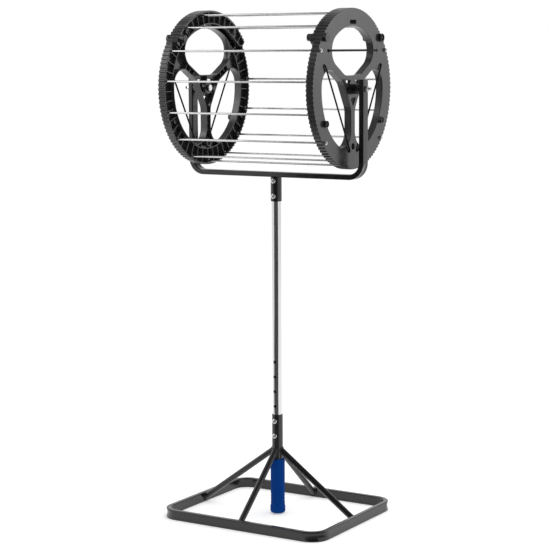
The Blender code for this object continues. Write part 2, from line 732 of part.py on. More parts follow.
def build_axle_bolt(name, side, parent, material):
    """A bolt through the bush and the fork's arm, with its head inside the drum."""
    inner = DISC_BACK - SLIDE_GAP
    tip = ARM_OUTER + GAP + AXLE_NUT_THICKNESS + AXLE_TIP_LENGTH
    profile = [
        (AXLE_HEAD_RADIUS - AXLE_CHAMFER, inner - AXLE_HEAD_THICKNESS),
        (AXLE_HEAD_RADIUS, inner - AXLE_HEAD_THICKNESS + AXLE_CHAMFER),
        (AXLE_HEAD_RADIUS, inner),
        (AXLE_RADIUS, inner),
        (AXLE_RADIUS, tip - AXLE_CHAMFER),
        (AXLE_RADIUS - AXLE_CHAMFER, tip),
    ]
    shape = bmesh.new()
    add_turned(shape, profile, (0, 0, AXLE_HEIGHT), (side, 0, AXLE_HEIGHT), SMALL_SIDES)
    return make_piece(name, shape, parent, material)


def build_axle_nut(name, side, parent, material):
    """A six-sided nut on the outer side of the fork's arm."""
    inner = ARM_OUTER + GAP
    outer = inner + AXLE_NUT_THICKNESS
    shape = bmesh.new()
    add_prism(shape, circle((0, AXLE_HEIGHT), AXLE_NUT_RADIUS, 6), side * inner, side * outer)
    nut = make_piece(name, shape, parent, material)
    bore = bmesh.new()
    start = (side * (inner - CUT_OVERRUN), 0, AXLE_HEIGHT)
    end = (side * (outer + CUT_OVERRUN), 0, AXLE_HEIGHT)
    add_rod(bore, start, end, AXLE_RADIUS + GAP, SMALL_SIDES)
    combine(nut, bore, "DIFFERENCE")
    return nut


def fork_stations():
    """The fork's centre line in the XZ plane, from one arm's top to the other's."""
    half_span = ARM_INNER + FORK_TUBE_THICKNESS / 2
    bar = (BAR_TOP + BAR_BOTTOM) / 2
    bend_x = half_span - FORK_BEND_RADIUS
    bend_z = bar + FORK_BEND_RADIUS
    left = bend_stations((-bend_x, bend_z), FORK_BEND_RADIUS, math.pi, math.pi * 1.5)
    right = bend_stations((bend_x, bend_z), FORK_BEND_RADIUS, math.pi * 1.5, math.tau)
    return (
        [((-half_span, ARM_TOP), (-1, 0), 0)] + left + right + [((half_span, ARM_TOP), (1, 0), 0)]
    )


def build_fork(name, parent, material):
    def to_world(x, z, across):
        return x, across, z

    stations = fork_stations()
    shape = bmesh.new()
    add_loft(
        shape,
        tube_loops(stations, to_world, FORK_TUBE_THICKNESS, FORK_TUBE_DEPTH, FORK_TUBE_CORNER, CORNER_STEPS),
    )
    fork = make_piece(name, shape, parent, material)
    bore = bmesh.new()
    first = ((stations[0][0][0], ARM_TOP + CUT_OVERRUN), stations[0][1], 0)
    last = ((stations[-1][0][0], ARM_TOP + CUT_OVERRUN), stations[-1][1], 0)
    add_loft(
        bore,
        tube_loops(
            [first] + stations[1:-1] + [last],
            to_world,
            FORK_TUBE_THICKNESS - 2 * FORK_TUBE_WALL,
            FORK_TUBE_DEPTH - 2 * FORK_TUBE_WALL,
            FORK_TUBE_CORNER - FORK_TUBE_WALL,
            1,
        ),
    )
    combine(fork, bore, "DIFFERENCE")
    holes = bmesh.new()
    for side in (-1, 1):
        start = (side * (ARM_INNER - CUT_OVERRUN), 0, AXLE_HEIGHT)
        end = (side * (ARM_OUTER + CUT_OVERRUN), 0, AXLE_HEIGHT)
        add_rod(holes, start, end, AXLE_RADIUS + GAP, SMALL_SIDES)
    combine(fork, holes, "DIFFERENCE")
    return fork


def rectangle_loop(half_x, half_y, corner, height, x):
    """A rounded rectangle in the XY plane at one height."""
    loop = []
    for turn, (side_x, side_y) in enumerate(((1, 1), (-1, 1), (-1, -1), (1, -1))):
        for n in range(CORNER_STEPS + 1):
            angle = (turn + n / CORNER_STEPS) * math.pi / 2
            loop.append(
                (
                    x + side_x * (half_x - corner) + corner * math.cos(angle),
                    side_y * (half_y - corner) + corner * math.sin(angle),
                    height,
                )
            )
    return loop


def build_arm_cap(name, side, parent, material):
    """A plastic cap that plugs the open top of one arm."""
    x = side * (ARM_INNER + FORK_TUBE_THICKNESS / 2)
    plug_x = FORK_TUBE_THICKNESS / 2 - FORK_TUBE_WALL - GAP
    plug_y = FORK_TUBE_DEPTH / 2 - FORK_TUBE_WALL - GAP
    plug_corner = FORK_TUBE_CORNER - FORK_TUBE_WALL
    under = ARM_TOP + GAP
    top = under + CAP_THICKNESS
    half_x = FORK_TUBE_THICKNESS / 2
    half_y = FORK_TUBE_DEPTH / 2
    loops = [
        rectangle_loop(plug_x, plug_y, plug_corner, under - CAP_PLUG_LENGTH, x),
        rectangle_loop(plug_x, plug_y, plug_corner, under, x),
        rectangle_loop(half_x, half_y, FORK_TUBE_CORNER, under, x),
        rectangle_loop(half_x, half_y, FORK_TUBE_CORNER, top - CAP_EDGE, x),
        rectangle_loop(half_x - CAP_EDGE, half_y - CAP_EDGE, FORK_TUBE_CORNER - CAP_EDGE, top, x),
    ]
    shape = bmesh.new()
    add_loft(shape, loops)
    return make_piece(name, shape, parent, material)


def build_sleeve(name, bottom, top, screw_heights, far_wall, parent, material):
    """A tube that the pole slides into, with its screw holes."""
    profile = [(SLEEVE_BORE, bottom), (SLEEVE_RADIUS, bottom), (SLEEVE_RADIUS, top), (SLEEVE_BORE, top)]
    shape = bmesh.new()
    add_turned(shape, profile, (0, 0, 0), (0, 0, 1), POLE_SIDES, hollow=True)
    sleeve = make_piece(name, shape, parent, material)
    holes = bmesh.new()
    front = -SLEEVE_RADIUS - CUT_OVERRUN
    back = -front if far_wall else 0
    for height in screw_heights:
        add_rod(holes, (0, front, height), (0, back, height), SCREW_RADIUS + GAP, SMALL_SIDES)
    combine(sleeve, holes, "DIFFERENCE")
    return sleeve


def build_screw(name, height, length, parent, material):
    """A round-headed screw in the front of a sleeve."""
    seat = SLEEVE_RADIUS + GAP
    profile = []
    for n in range(1, ROUNDING_STEPS + 1):
        angle = n / ROUNDING_STEPS * math.pi / 2
        profile.append((SCREW_HEAD_RADIUS * math.sin(angle), -SCREW_HEAD_HEIGHT * math.cos(angle)))
    profile += [(SCREW_RADIUS, 0), (SCREW_RADIUS, length)]
    shape = bmesh.new()
    add_turned(shape, profile, (0, -seat, height), (0, 0, height), SMALL_SIDES)
    return make_piece(name, shape, parent, material)


def build_pole(name, parent, material):
    bore = POLE_RADIUS - POLE_WALL
    profile = [(bore, POLE_BOTTOM), (POLE_RADIUS, POLE_BOTTOM), (POLE_RADIUS, POLE_TOP), (bore, POLE_TOP)]
    shape = bmesh.new()
    add_turned(shape, profile, (0, 0, 0), (0, 0, 1), POLE_SIDES, hollow=True)
    pole = make_piece(name, shape, parent, material)
    holes = bmesh.new()
    reach = POLE_RADIUS + CUT_OVERRUN
    for height in POLE_HOLES + SOCKET_SCREWS:
        add_rod(holes, (0, -reach, height), (0, reach, height), HOLE_RADIUS, HOLE_SIDES)
    combine(pole, holes, "DIFFERENCE")
    return pole


def grip_radius(height):
    """The grip narrows evenly from its top to its waist, above the thicker butt."""
    share = (GRIP_TOP - height) / (GRIP_TOP - GRIP_BUTT_TOP)
    return GRIP_TOP_RADIUS + (GRIP_WAIST_RADIUS - GRIP_TOP_RADIUS) * share


def build_grip(name, parent, material):
    bore = SLEEVE_RADIUS + GAP
    floor = GRIP_FLOOR_GAP + GRIP_BOTTOM_THICKNESS
    profile = []
    for n in range(ROUNDING_STEPS + 1):
        angle = n / ROUNDING_STEPS * math.pi / 2
        inset = GRIP_ROUNDING * (1 - math.sin(angle))
        profile.append((GRIP_BUTT_RADIUS - inset, GRIP_FLOOR_GAP + GRIP_ROUNDING * (1 - math.cos(angle))))
    profile.append((GRIP_BUTT_RADIUS, GRIP_BUTT_TOP - GRIP_BUTT_SLOPE))
    profile.append((GRIP_WAIST_RADIUS, GRIP_BUTT_TOP))
    half_groove = GRIP_GROOVE_WIDTH / 2
    for height in GRIP_GROOVE_HEIGHTS:
        profile.append((grip_radius(height), height - half_groove))
        profile.append((grip_radius(height) - GRIP_GROOVE_DEPTH, height))
        profile.append((grip_radius(height), height + half_groove))
    rim = GRIP_TOP_RADIUS - bore
    profile.append((grip_radius(GRIP_TOP - rim / 2), GRIP_TOP - rim / 2))
    profile += [(bore + rim / 2, GRIP_TOP), (bore, GRIP_TOP), (bore, floor)]
    shape = bmesh.new()
    add_turned(shape, profile, (0, 0, 0), (0, 0, 1), POLE_SIDES)
    return make_piece(name, shape, parent, material)


def strut_loops(way, reach, radius):
    """One skin of a strut's tube: its loop on the stand's tube and its loop on the base's inner side."""
    direction = Vector((*way, 0))
    start = Vector((0, 0, STRUT_ORIGIN_HEIGHT))
    along = (direction * reach + Vector((0, 0, STRUT_FOOT_HEIGHT)) - start).normalized()
    across = Vector((0, 0, 1)).cross(direction)
    normal = along.cross(across)
    upper = []
    lower = []
    for n in range(STRUT_SIDES):
        angle = math.tau * (n + 0.5) / STRUT_SIDES
        point = start + radius * (across * math.cos(angle) + normal * math.sin(angle))
        aside = point.dot(across)
        on_post = math.sqrt((SLEEVE_RADIUS + GAP) ** 2 - aside**2)
        upper.append(point + along * (on_post - point.dot(direction)) / along.dot(direction))
        lower.append(point + along * (reach - GAP - point.dot(direction)) / along.dot(direction))
    return upper, lower


def build_strut(name, way, reach, parent, material):
    """A round tube from the stand's tube down to the base's inner side, with both ends cut to fit."""
    outer_top, outer_foot = strut_loops(way, reach, STRUT_RADIUS)
    inner_top, inner_foot = strut_loops(way, reach, STRUT_RADIUS - STRUT_WALL)
    shape = bmesh.new()
    add_loft(shape, [outer_top, outer_foot, inner_foot, inner_top], closed=True)
    return make_piece(name, shape, parent, material)


def base_stations():
    """The base's centre line in the XY plane, corner after corner."""
    half_x = (BASE_LENGTH - BASE_TUBE_THICKNESS) / 2 - BASE_BEND_RADIUS
    half_y = (BASE_DEPTH - BASE_TUBE_THICKNESS) / 2 - BASE_BEND_RADIUS
    stations = []
    for turn, (side_x, side_y) in enumerate(((1, 1), (-1, 1), (-1, -1), (1, -1))):
        start = turn * math.pi / 2
        centre = (side_x * half_x, side_y * half_y)
        stations += bend_stations(centre, BASE_BEND_RADIUS, start, start + math.pi / 2)
    return stations


def build_base(name, parent, material):
    def to_world(x, y, across):
        return x, y, BASE_TUBE_HEIGHT / 2 + across

    stations = base_stations()
    shape = bmesh.new()
    add_loft(
        shape,
        tube_loops(stations, to_world, BASE_TUBE_THICKNESS, BASE_TUBE_HEIGHT, BASE_TUBE_CORNER, CORNER_STEPS),
        closed=True,
    )
    base = make_piece(name, shape, parent, material)
    bore = bmesh.new()
    add_loft(
        bore,
        tube_loops(
            stations,
            to_world,
            BASE_TUBE_THICKNESS - 2 * BASE_TUBE_WALL,
            BASE_TUBE_HEIGHT - 2 * BASE_TUBE_WALL,
            BASE_TUBE_CORNER - BASE_TUBE_WALL,
            1,
        ),
        closed=True,
    )
    combine(base, bore, "DIFFERENCE")
    vents = bmesh.new()
    for way, reach in STRUT_WAYS.values():
        inner = Vector((*way, 0)) * (reach - CUT_OVERRUN)
        outer = Vector((*way, 0)) * (reach + BASE_TUBE_THICKNESS / 2)
        lift = Vector((0, 0, STRUT_FOOT_HEIGHT))
        add_rod(vents, inner + lift, outer + lift, VENT_RADIUS, HOLE_SIDES)
    combine(base, vents, "DIFFERENCE")
    return base


STRUT_WAYS = {
    "strut_front": ((0, -1), BASE_INNER_Y),
    "strut_right": ((1, 0), BASE_INNER_X),
    "strut_back": ((0, 1), BASE_INNER_Y),
    "strut_left": ((-1, 0), BASE_INNER_X),
}


def build_stand(frame, dark_tube, zinc, blue_rubber):
    build_base("base_ring", frame, dark_tube)
    for name, (way, reach) in STRUT_WAYS.items():
        build_strut(name, way, reach, frame, dark_tube)
    build_sleeve("stand_tube", STAND_TUBE_BOTTOM, STAND_TUBE_TOP, STAND_SCREWS, False, frame, dark_tube)
    build_grip("grip", frame, blue_rubber)
    wall_only = SLEEVE_WALL + GAP
    for name, height in zip(("stand_screw_upper", "stand_screw_lower"), STAND_SCREWS):
        build_screw(name, height, wall_only, frame, zinc)


def build_mast(frame, dark_tube, polished, zinc, black_plastic):
    build_pole("pole", frame, polished)
    build_fork("fork", frame, dark_tube)
    build_sleeve("fork_socket", SOCKET_BOTTOM, SOCKET_TOP, SOCKET_SCREWS, True, frame, dark_tube)
    right_through = 2 * SLEEVE_RADIUS
    for name, height in zip(("socket_screw_upper", "socket_screw_lower"), SOCKET_SCREWS):
        build_screw(name, height, right_through, frame, zinc)
    for word, side in (("left", -1), ("right", 1)):
        build_axle_bolt(f"axle_bolt_{word}", side, frame, zinc)
        build_axle_nut(f"axle_nut_{word}", side, frame, zinc)
        build_arm_cap(f"arm_cap_{word}", side, frame, black_plastic)


def build_drum(frame, grey_plastic, black_plastic, steel_wire, black_wire, zinc):
    for word, side in (("left", -1), ("right", 1)):
        build_end_disc(f"end_disc_{word}", side, frame, grey_plastic)
        build_hub_bush(f"hub_bush_{word}", side, frame, black_plastic)
        build_pin(f"hinge_pin_{word}", side, PIN_ANGLE, side > 0, frame, black_plastic)
        build_pin(f"latch_pin_{word}", side, -PIN_ANGLE, True, frame, black_plastic)
        build_plug(f"plug_front_{word}", side, -PLUG_ANGLE, frame, black_plastic)
        build_plug(f"plug_back_{word}", side, PLUG_ANGLE, frame, black_plastic)
        for number in range(SPOKE_COUNT):
            turn = math.tau * number / SPOKE_COUNT
            build_guard_rod(f"guard_rod_{word}_{number + 1}", side, turn, frame, black_wire)
    reach = DISC_BACK + WIRE_SEAT_DEPTH
    wires = 0
    ties = 0
    for angle, kind in wire_places():
        if kind == "wire":
            wires += 1
            build_wire(f"cage_wire_{wires}", angle, reach, WIRE_RADIUS, frame, steel_wire)
        elif kind == "tie":
            ties += 1
            build_tie_bolt(f"tie_bolt_{ties}", angle, frame, steel_wire)
            build_tie_nut(f"tie_nut_{ties}", angle, frame, zinc)


def build_hatch(frame, offset, grey_plastic, steel_wire):
    for word, side in (("left", -1), ("right", 1)):
        build_hatch_arc(f"hatch_arc_{word}", side, frame, offset, grey_plastic)
    reach = HATCH_FACE - HATCH_SEAT_WALL
    angles = [angle for angle, kind in wire_places() if kind == "hatch"]
    for number, angle in enumerate(angles, start=1):
        wire = build_wire(f"hatch_wire_{number}", angle, reach, WIRE_RADIUS, frame, steel_wire)
        wire.location = offset


def main():
    clear_scene()
    dark_tube = make_material("dark_tube", (0.045, 0.045, 0.048), 0.38, 0.3)
    polished = make_material("polished_tube", (0.62, 0.62, 0.63), 0.16, 1.0)
    zinc = make_material("zinc", (0.66, 0.66, 0.67), 0.25, 1.0)
    grey_plastic = make_material("grey_plastic", (0.13, 0.13, 0.132), 0.5, 0.0)
    black_plastic = make_material("black_plastic", (0.012, 0.012, 0.013), 0.42, 0.0)
    black_wire = make_material("black_wire", (0.015, 0.015, 0.016), 0.35, 0.4)
    steel_wire = make_material("steel_wire", (0.7, 0.7, 0.71), 0.2, 1.0)
    blue_rubber = make_material("blue_rubber", (0.0, 0.045, 0.23), 0.55, 0.0)

    stand = make_frame("stand_frame", (0, 0, 0))
    mast = make_frame("mast_frame", (0, 0, 0), stand)
    drum = make_frame("drum_frame", (0, 0, AXLE_HEIGHT), mast)
    hinge = Vector((0, *polar(PIN_CIRCLE, PIN_ANGLE)))
    hatch = make_frame("hatch_frame", hinge, drum)

    build_stand(stand, dark_tube, zinc, blue_rubber)
    build_mast(mast, dark_tube, polished, zinc, black_plastic)
    build_drum(drum, grey_plastic, black_plastic, steel_wire, black_wire, zinc)
    build_hatch(hatch, -hinge, grey_plastic, steel_wire)


main()
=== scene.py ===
"""Looks of the tennis ball cart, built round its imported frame.

Metres, +Z up. X runs along the drum's axle with the near disc at +X, and Y goes into the picture.
"""

from math import acos, asin, atan2, ceil, copysign, cos, floor, pi, radians, sin, sqrt, tau

import bmesh
import bpy
import numpy as np
from mathutils import Matrix, Vector, geometry


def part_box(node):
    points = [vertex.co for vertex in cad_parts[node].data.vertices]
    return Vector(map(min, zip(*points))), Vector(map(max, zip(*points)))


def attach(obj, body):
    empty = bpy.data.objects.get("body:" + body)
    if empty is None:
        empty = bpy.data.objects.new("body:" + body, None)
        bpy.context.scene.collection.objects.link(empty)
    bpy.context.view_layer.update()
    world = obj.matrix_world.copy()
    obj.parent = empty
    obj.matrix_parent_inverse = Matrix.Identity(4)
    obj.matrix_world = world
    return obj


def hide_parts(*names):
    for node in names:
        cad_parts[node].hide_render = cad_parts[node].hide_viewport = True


# Camera, fitted to edges of the photograph
PHOTO_PIXELS = 550
FOCAL_PIXELS = 1709.01
SENSOR_WIDTH = 36.0
CAMERA_DISTANCE = 3.36
CAMERA_HEIGHT = 0.9286
CAMERA_AROUND = radians(31.5714)
CAMERA_YAW = radians(31.6275)
CAMERA_PITCH = radians(7.5327)
CAMERA_ROLL = radians(-0.3166)

# Studio
FLOOR_SIZE = 60.0
FLOOR_COLOUR = (0.9, 0.9, 0.9)
FLOOR_LIFT = 0.3
WORLD_STRENGTH = 0.8
SKY_START = 0.35
SKY_END = 0.75
SKY_OVERHEAD = 0.22

# Area lights: size, place, power, and whether gloss and matte surfaces see them
LIGHTS = {
    "top_light": (2.6, (0.6, 0.4, 3.2), 24.0, False, True),
    "side_light": (1.9, (2.36, 2.18, 1.75), 10.0, True, True),
    "high_panel": (0.9, (-1.2, -0.75, 1.7), 4.5, True, False),
    "low_panel": (1.5, (-1.35, -1.0, 1.4), 4.2, True, False),
}

# Dark card: each row's radius, height, and left and right ends in degrees from the camera's side
CARD_ROWS = (
    (0.24, 0.001, -61, 31),
    (0.80, 0.001, -72, 28),
    (1.15, 0.001, -80, 25),
    (1.15, 0.350, -61, 39),
    (1.15, 1.900, -61, 39),
)
CARD_STEPS = 24
CARD_FLOOR_COLOUR = (0.3, 0.3, 0.3)
CARD_COLOUR = (0.09, 0.09, 0.09)

# Materials: colour, second colour, roughness, then the index of refraction or the streaks' stretch and scale
PLASTICS = {
    "grey_plastic": ((0.019, 0.019, 0.02), (0.03, 0.03, 0.032), 0.22, 1.6),
    "black_plastic": ((0.005, 0.005, 0.006), (0.012, 0.012, 0.013), 0.3, 1.58),
}
PAINTS = {
    "dark_tube": ((0.004, 0.004, 0.005), (0.01, 0.01, 0.011), 0.16, 1.56),
    "black_wire": ((0.004, 0.004, 0.005), (0.01, 0.01, 0.011), 0.45, 1.15),
}
METALS = {
    "polished_tube": ((0.66, 0.66, 0.67), (0.58, 0.58, 0.58), 0.12, (1, 1, 0.03), 500.0),
    "zinc": ((0.72, 0.72, 0.73), (0.5, 0.5, 0.5), 0.24, (1, 1, 1), 400.0),
    "steel_wire": ((0.62, 0.62, 0.63), (0.48, 0.48, 0.48), 0.2, (0.03, 1, 1), 700.0),
}
NOISE_ROUGHNESS = 0.55

# How finely pieces are drawn
ROUND_STEPS = 3
ARC_STEP = radians(2.5)
FILLET_STEP = radians(9)
BEND_STEPS = 18
CORNER_STEPS = 5
WALL_STEPS = 6
DOME_STEPS = 6
GRIP_STEPS = 8
ROD_SIDES = 20
TIE_SIDES = 24
AXLE_SIDES = 32
SCREW_SIDES = 36
KNOB_SIDES = 40
NUT_SIDES = 48
TUBE_SIDES = 64
STRUT_SIDES = 36
HOLE_SIDES = 24
WELD_SIDES = 10
SHARP_ANGLE = radians(38)
MITRE_LIMIT = 0.5
QUARTERS = ((1, 1), (-1, 1), (-1, -1), (1, -1))

# Drum
WIRE_COUNT = 15
TIE_ORDERS = (2, 5)
WIRE_INSET = 0.007
TEETH = 110
SHALLOW_TEETH = 11
TOOTH_DEPTH = 0.0018
TOOTH_CREST = 0.36
TOOTH_FLOOR = 0.36
EDGE_ROUND = 0.0006
INNER_ROUND = 0.0003
RING_WIDTH = 0.034
SPOKE_COUNT = 3
SPOKE_WIDTH = 0.015
WINDOW_FILLET = 0.031
HUB_FLAT_DISTANCE = 0.0258
SPOKE_SIDE_REACH = 0.03
HUB_FILLET = 0.025
HUB_BORE = 0.0083
HUB_HOLE_CORNERS = [(0.0105, 0.0165), (0, 0.033), (-0.0105, 0.0165)]
HUB_HOLE_ROUND = 0.0022
SLOT_INSET = 0.0265
SLOT_WIDTH = 0.024
SLOT_HEIGHT = 0.0072
SLOT_ROUND = 0.001
SPOKE_HOLE_INSET = 0.044
SPOKE_HOLE_RADIUS = 0.006
PIN_ANGLE = radians(48)
PIN_INSET = 0.008
PIN_BORE = 0.0033
PLUG_ANGLE = radians(120)
PLUG_INSET = 0.028
GUARD_HOLE = 0.0029
GUARD_INSET = 0.0338
GUARD_SPREAD = radians(52.5)
TIE_BORE = 0.0024

# Walls, ribs and seats behind the disc's face
FACE_PLATE = 0.004
RIM_WALL = 0.0036
SHELL_WALL = 0.0018
SHELL_RIB = 0.0014
RIB_DROP = 0.003
RIM_RIB_END = 0.00252
HUB_RIB_START = 0.0108
RIBS_PER_WIRE = 3
RING_WALL_INSET = 0.0312
SPOKE_RIB_PLACES = (0.056, 0.07, 0.084)
HUB_BOSS = 0.0118
SPOKE_HOLE_BOSS = 0.0078
PIN_BOSS = 0.0062
PLUG_BOSS = 0.0055
PLUG_BOSS_DEPTH = 0.0095
GUARD_BOSS = 0.0038
GUARD_BOSS_DEPTH = 0.0085
WIRE_BOSS = 0.0043

# Hatch
HATCH_WIRES = 4
HATCH_TOOTH_DEPTH = 0.0005
HATCH_WALL = 0.002
HATCH_RIB = 0.0013
BAND_WIDTH = 0.0265
LOBE_RADIUS = 0.015
LOBE_RIB_ANGLE = radians(46.2)
SHOULDER_ANGLE = radians(37)
RING_SEAT_ANGLE = radians(38)
RING_SEAT_CIRCLE = 0.1405
RING_SEAT_RADIUS = 0.0032
RING_SEAT_BORE = 0.0014
RING_RIB = 0.00104
RING_RIB_END = 0.00288
HOOK_MOUTH = 0.004
HOOK_MOUTH_WALL = 0.0018
HINGE_BORE = 0.0034

# Pins, plugs, screws, bolts and nuts, where a point is its end's radius and its length
AXIS_RADIUS = 0.0004
ROD_AXIS_RADIUS = 0.0003
SEAT_GAP = 0.0003
WIDE_GAP = 0.0004
HEAD_ROUND = 0.0008
HEAD_RIM = 0.0016
HEAD_RECESS = 0.0034
HEAD_POST = 0.0022
HEAD_POST_DROP = 0.001
PIN_STEM = 0.003
PIN_TIP = 0.0015
BARREL_RADIUS = 0.007
SCREW_SHANK = 0.0026
SCREW_SEAT_SHARE = 0.94
SCREW_BRIM_SHARE = 0.12
SCREW_DOME = radians(62)
SOCKET_SHARE = 0.46
SOCKET_ROWS = ((1.06, 1.0), (1.0, 0.93), (1.0, 0.35), (0.3, 0.245))
NUT_FACE_SHARE = 0.98
NUT_CHAMFER_SHARE = 0.14
THREAD_PITCH = 0.0007
THREAD_DEPTH = 0.000315
THREAD_RISE = 0.45
AXLE_SHANK = 0.003
AXLE_NUT_BORE = 0.0033
AXLE_HEAD_ROUND = 0.0012
AXLE_POINT = (0.0018, 0.0008)
LOCK_COLLAR_START = 0.72
LOCK_COLLAR_SHARES = (0.82, 0.78)
LOCK_COLLAR_LIP = 0.0042
LOCK_COLLAR_DROP = 0.0005
LOCK_BORE_DROP = 0.0004
TIE_SHANK = 0.0021
TIE_THREAD = 0.005
TIE_THREAD_RUN_IN = 0.0002
TIE_SHANK_END = 0.0045
TIE_POINT = (0.0012, 0.0005)

# Tubes, which are pinched on the outside of their bends, and the pole
TUBE_CORNER = 0.002
PINCH = 0.0018
FORK_BEND = 0.028
BASE_BEND = 0.032
POLE_WALL = 0.0012
POLE_HOLES = 6
POLE_HOLE_PITCH = 0.03
POLE_HOLE_RADIUS = 0.0031
POLE_HOLE_DEPTH = 0.04

# Struts and their weld beads
STRUT_WAYS = {"front": (0, -1, 0), "right": (1, 0, 0), "back": (0, 1, 0), "left": (-1, 0, 0)}
STRUT_RADIUS = 0.006
STRUT_TOP = 0.137
STRUT_FOOT = 0.0105
STRUT_GAP = 0.0002
WELD_RADIUS = 0.0011
WELD_RIPPLE = 0.0002
WELD_LIFT = 0.0001
WELD_RIPPLES = 16
WELD_POINTS = 96
WELD_SPREAD = 0.0004
WELD_FOOT_INSET = 0.0006
WELD_UPRIGHT = Vector((0.3, 0.2, 0.93))

# Grip: heights are above the floor
GRIP_TOP = 0.0145
GRIP_WAIST = 0.0141
GRIP_BUTT_SIDE = 0.01
GRIP_BUTT_TOP = 0.019
GRIP_SLOPE = 0.004
GRIP_SLOPE_END = 0.023
GRIP_SLOPE_ROUND = 0.0012
GRIP_ROUND = 0.005
GRIP_FLOOR = 0.01
GRIP_GROOVES = (0.027, 0.0335, 0.040)
GRIP_GROOVE_DEPTH = 0.0008
GRIP_GROOVE_WIDTH = 0.0034
GRIP_SLEEVE_START = 0.06
GRIP_LIP_ROUND = 0.0014

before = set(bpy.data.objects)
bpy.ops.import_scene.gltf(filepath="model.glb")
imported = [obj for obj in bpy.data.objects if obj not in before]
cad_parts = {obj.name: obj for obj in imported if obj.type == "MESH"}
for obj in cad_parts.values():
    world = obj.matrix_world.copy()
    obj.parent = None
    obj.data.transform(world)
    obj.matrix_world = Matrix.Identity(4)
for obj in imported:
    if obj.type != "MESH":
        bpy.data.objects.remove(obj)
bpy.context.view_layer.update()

DISC_LOW, DISC_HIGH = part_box("end_disc_right")
DRUM_RADIUS = (DISC_HIGH.z - DISC_LOW.z) / 2
AXLE = (DISC_HIGH.z + DISC_LOW.z) / 2
DISC_FACE = DISC_HIGH.x
DISC_BACK = DISC_LOW.x
HATCH_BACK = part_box("hatch_arc_right")[0].x
HATCH_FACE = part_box("hatch_arc_right")[1].x
SLEEVE_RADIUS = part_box("stand_tube")[1].x
RING_INNER = DRUM_RADIUS - RING_WIDTH
PIN_CIRCLE = DRUM_RADIUS - PIN_INSET
WIRE_CIRCLE = DRUM_RADIUS - WIRE_INSET
WIRE_PITCH = tau / WIRE_COUNT
LAST_HATCH_WIRE = WIRE_PITCH * (HATCH_WIRES - 1) / 2
TOOTH_PITCH = tau / TEETH
HALF_WINDOW = pi / SPOKE_COUNT
WINDOW_TURNS = [2 * HALF_WINDOW * n for n in range(SPOKE_COUNT)]
SLOT_TOP = DRUM_RADIUS - SLOT_INSET + SLOT_HEIGHT / 2
SPOKE_HOLE_PLACE = (0, SPOKE_HOLE_INSET - DRUM_RADIUS)
BAND_INNER = DRUM_RADIUS - BAND_WIDTH
POCKET_INNER = BAND_INNER + HATCH_WALL
POCKET_OUTER = DRUM_RADIUS - TOOTH_DEPTH - HATCH_WALL
LOBE_POCKET = LOBE_RADIUS - HATCH_WALL
FINISHES = {}


def add_object(name, data):
    thing = bpy.data.objects.new(name, data)
    bpy.context.scene.collection.objects.link(thing)
    return thing


def make_camera():
    camera = add_object("camera", bpy.data.cameras.new("camera"))
    place = (CAMERA_DISTANCE * sin(CAMERA_AROUND), -CAMERA_DISTANCE * cos(CAMERA_AROUND), CAMERA_HEIGHT)
    yaw = Matrix.Rotation(CAMERA_YAW, 4, "Z")
    pitch = Matrix.Rotation(pi / 2 - CAMERA_PITCH, 4, "X")
    camera.matrix_world = Matrix.Translation(place) @ yaw @ pitch @ Matrix.Rotation(CAMERA_ROLL, 4, "Z")
    camera.data.sensor_width = SENSOR_WIDTH
    camera.data.lens = FOCAL_PIXELS / PHOTO_PIXELS * SENSOR_WIDTH
    bpy.context.scene.camera = camera


def set_inputs(tree, node, inputs):
    """Gives a node's inputs numbers, colours or the outputs of other nodes."""
    for name, value in inputs.items():
        if isinstance(value, bpy.types.NodeSocket):
            tree.links.new(value, node.inputs[name])
        else:
            node.inputs[name].default_value = value


def add_node(tree, kind, inputs, **settings):
    node = tree.nodes.new(f"ShaderNode{kind}")
    for name, value in settings.items():
        setattr(node, name, value)
    set_inputs(tree, node, inputs)
    return node


def math_node(tree, operation, first, second):
    """One step of arithmetic on two outputs or numbers."""
    return add_node(tree, "Math", {0: first, 1: second}, operation=operation).outputs[0]


def range_node(tree, value, low, high, to_low=0.0, to_high=1.0):
    """A value moved from one range to another and held inside it."""
    inputs = {"Value": value, "From Min": low, "From Max": high, "To Min": to_low, "To Max": to_high}
    return add_node(tree, "MapRange", inputs).outputs["Result"]


def new_material(name, inputs):
    material = bpy.data.materials.new(name)
    material.use_nodes = True
    set_inputs(material.node_tree, material.node_tree.nodes["Principled BSDF"], inputs)
    return material


def matte(name, colour):
    return new_material(name, {"Base Color": (*colour, 1), "Roughness": 1.0, "Specular IOR Level": 0.0})


def background_rays(tree):
    """1 on the rays that see the background: from the camera, in gloss and through glass."""
    rays = add_node(tree, "LightPath", {}).outputs
    straight = math_node(tree, "MAXIMUM", rays["Is Camera Ray"], rays["Is Transmission Ray"])
    return math_node(tree, "MAXIMUM", straight, rays["Is Glossy Ray"])


def make_world():
    """A white studio, whose ceiling is darker in gloss than its walls."""
    world = bpy.data.worlds.new("studio")
    bpy.context.scene.world = world
    world.use_nodes = True
    tree = world.node_tree
    direction = add_node(tree, "TexCoord", {}).outputs["Generated"]
    up = add_node(tree, "SeparateXYZ", {0: direction}).outputs["Z"]
    ceiling = range_node(tree, up, SKY_START, SKY_END, 0.0, 1.0 - SKY_OVERHEAD)
    dimmed = math_node(tree, "MULTIPLY", ceiling, add_node(tree, "LightPath", {}).outputs["Is Glossy Ray"])
    seen = math_node(tree, "MULTIPLY", background_rays(tree), 1.0 - WORLD_STRENGTH)
    lit = math_node(tree, "ADD", seen, WORLD_STRENGTH)
    strength = math_node(tree, "SUBTRACT", lit, dimmed)
    set_inputs(tree, tree.nodes["Background"], {"Color": (1, 1, 1, 1), "Strength": strength})


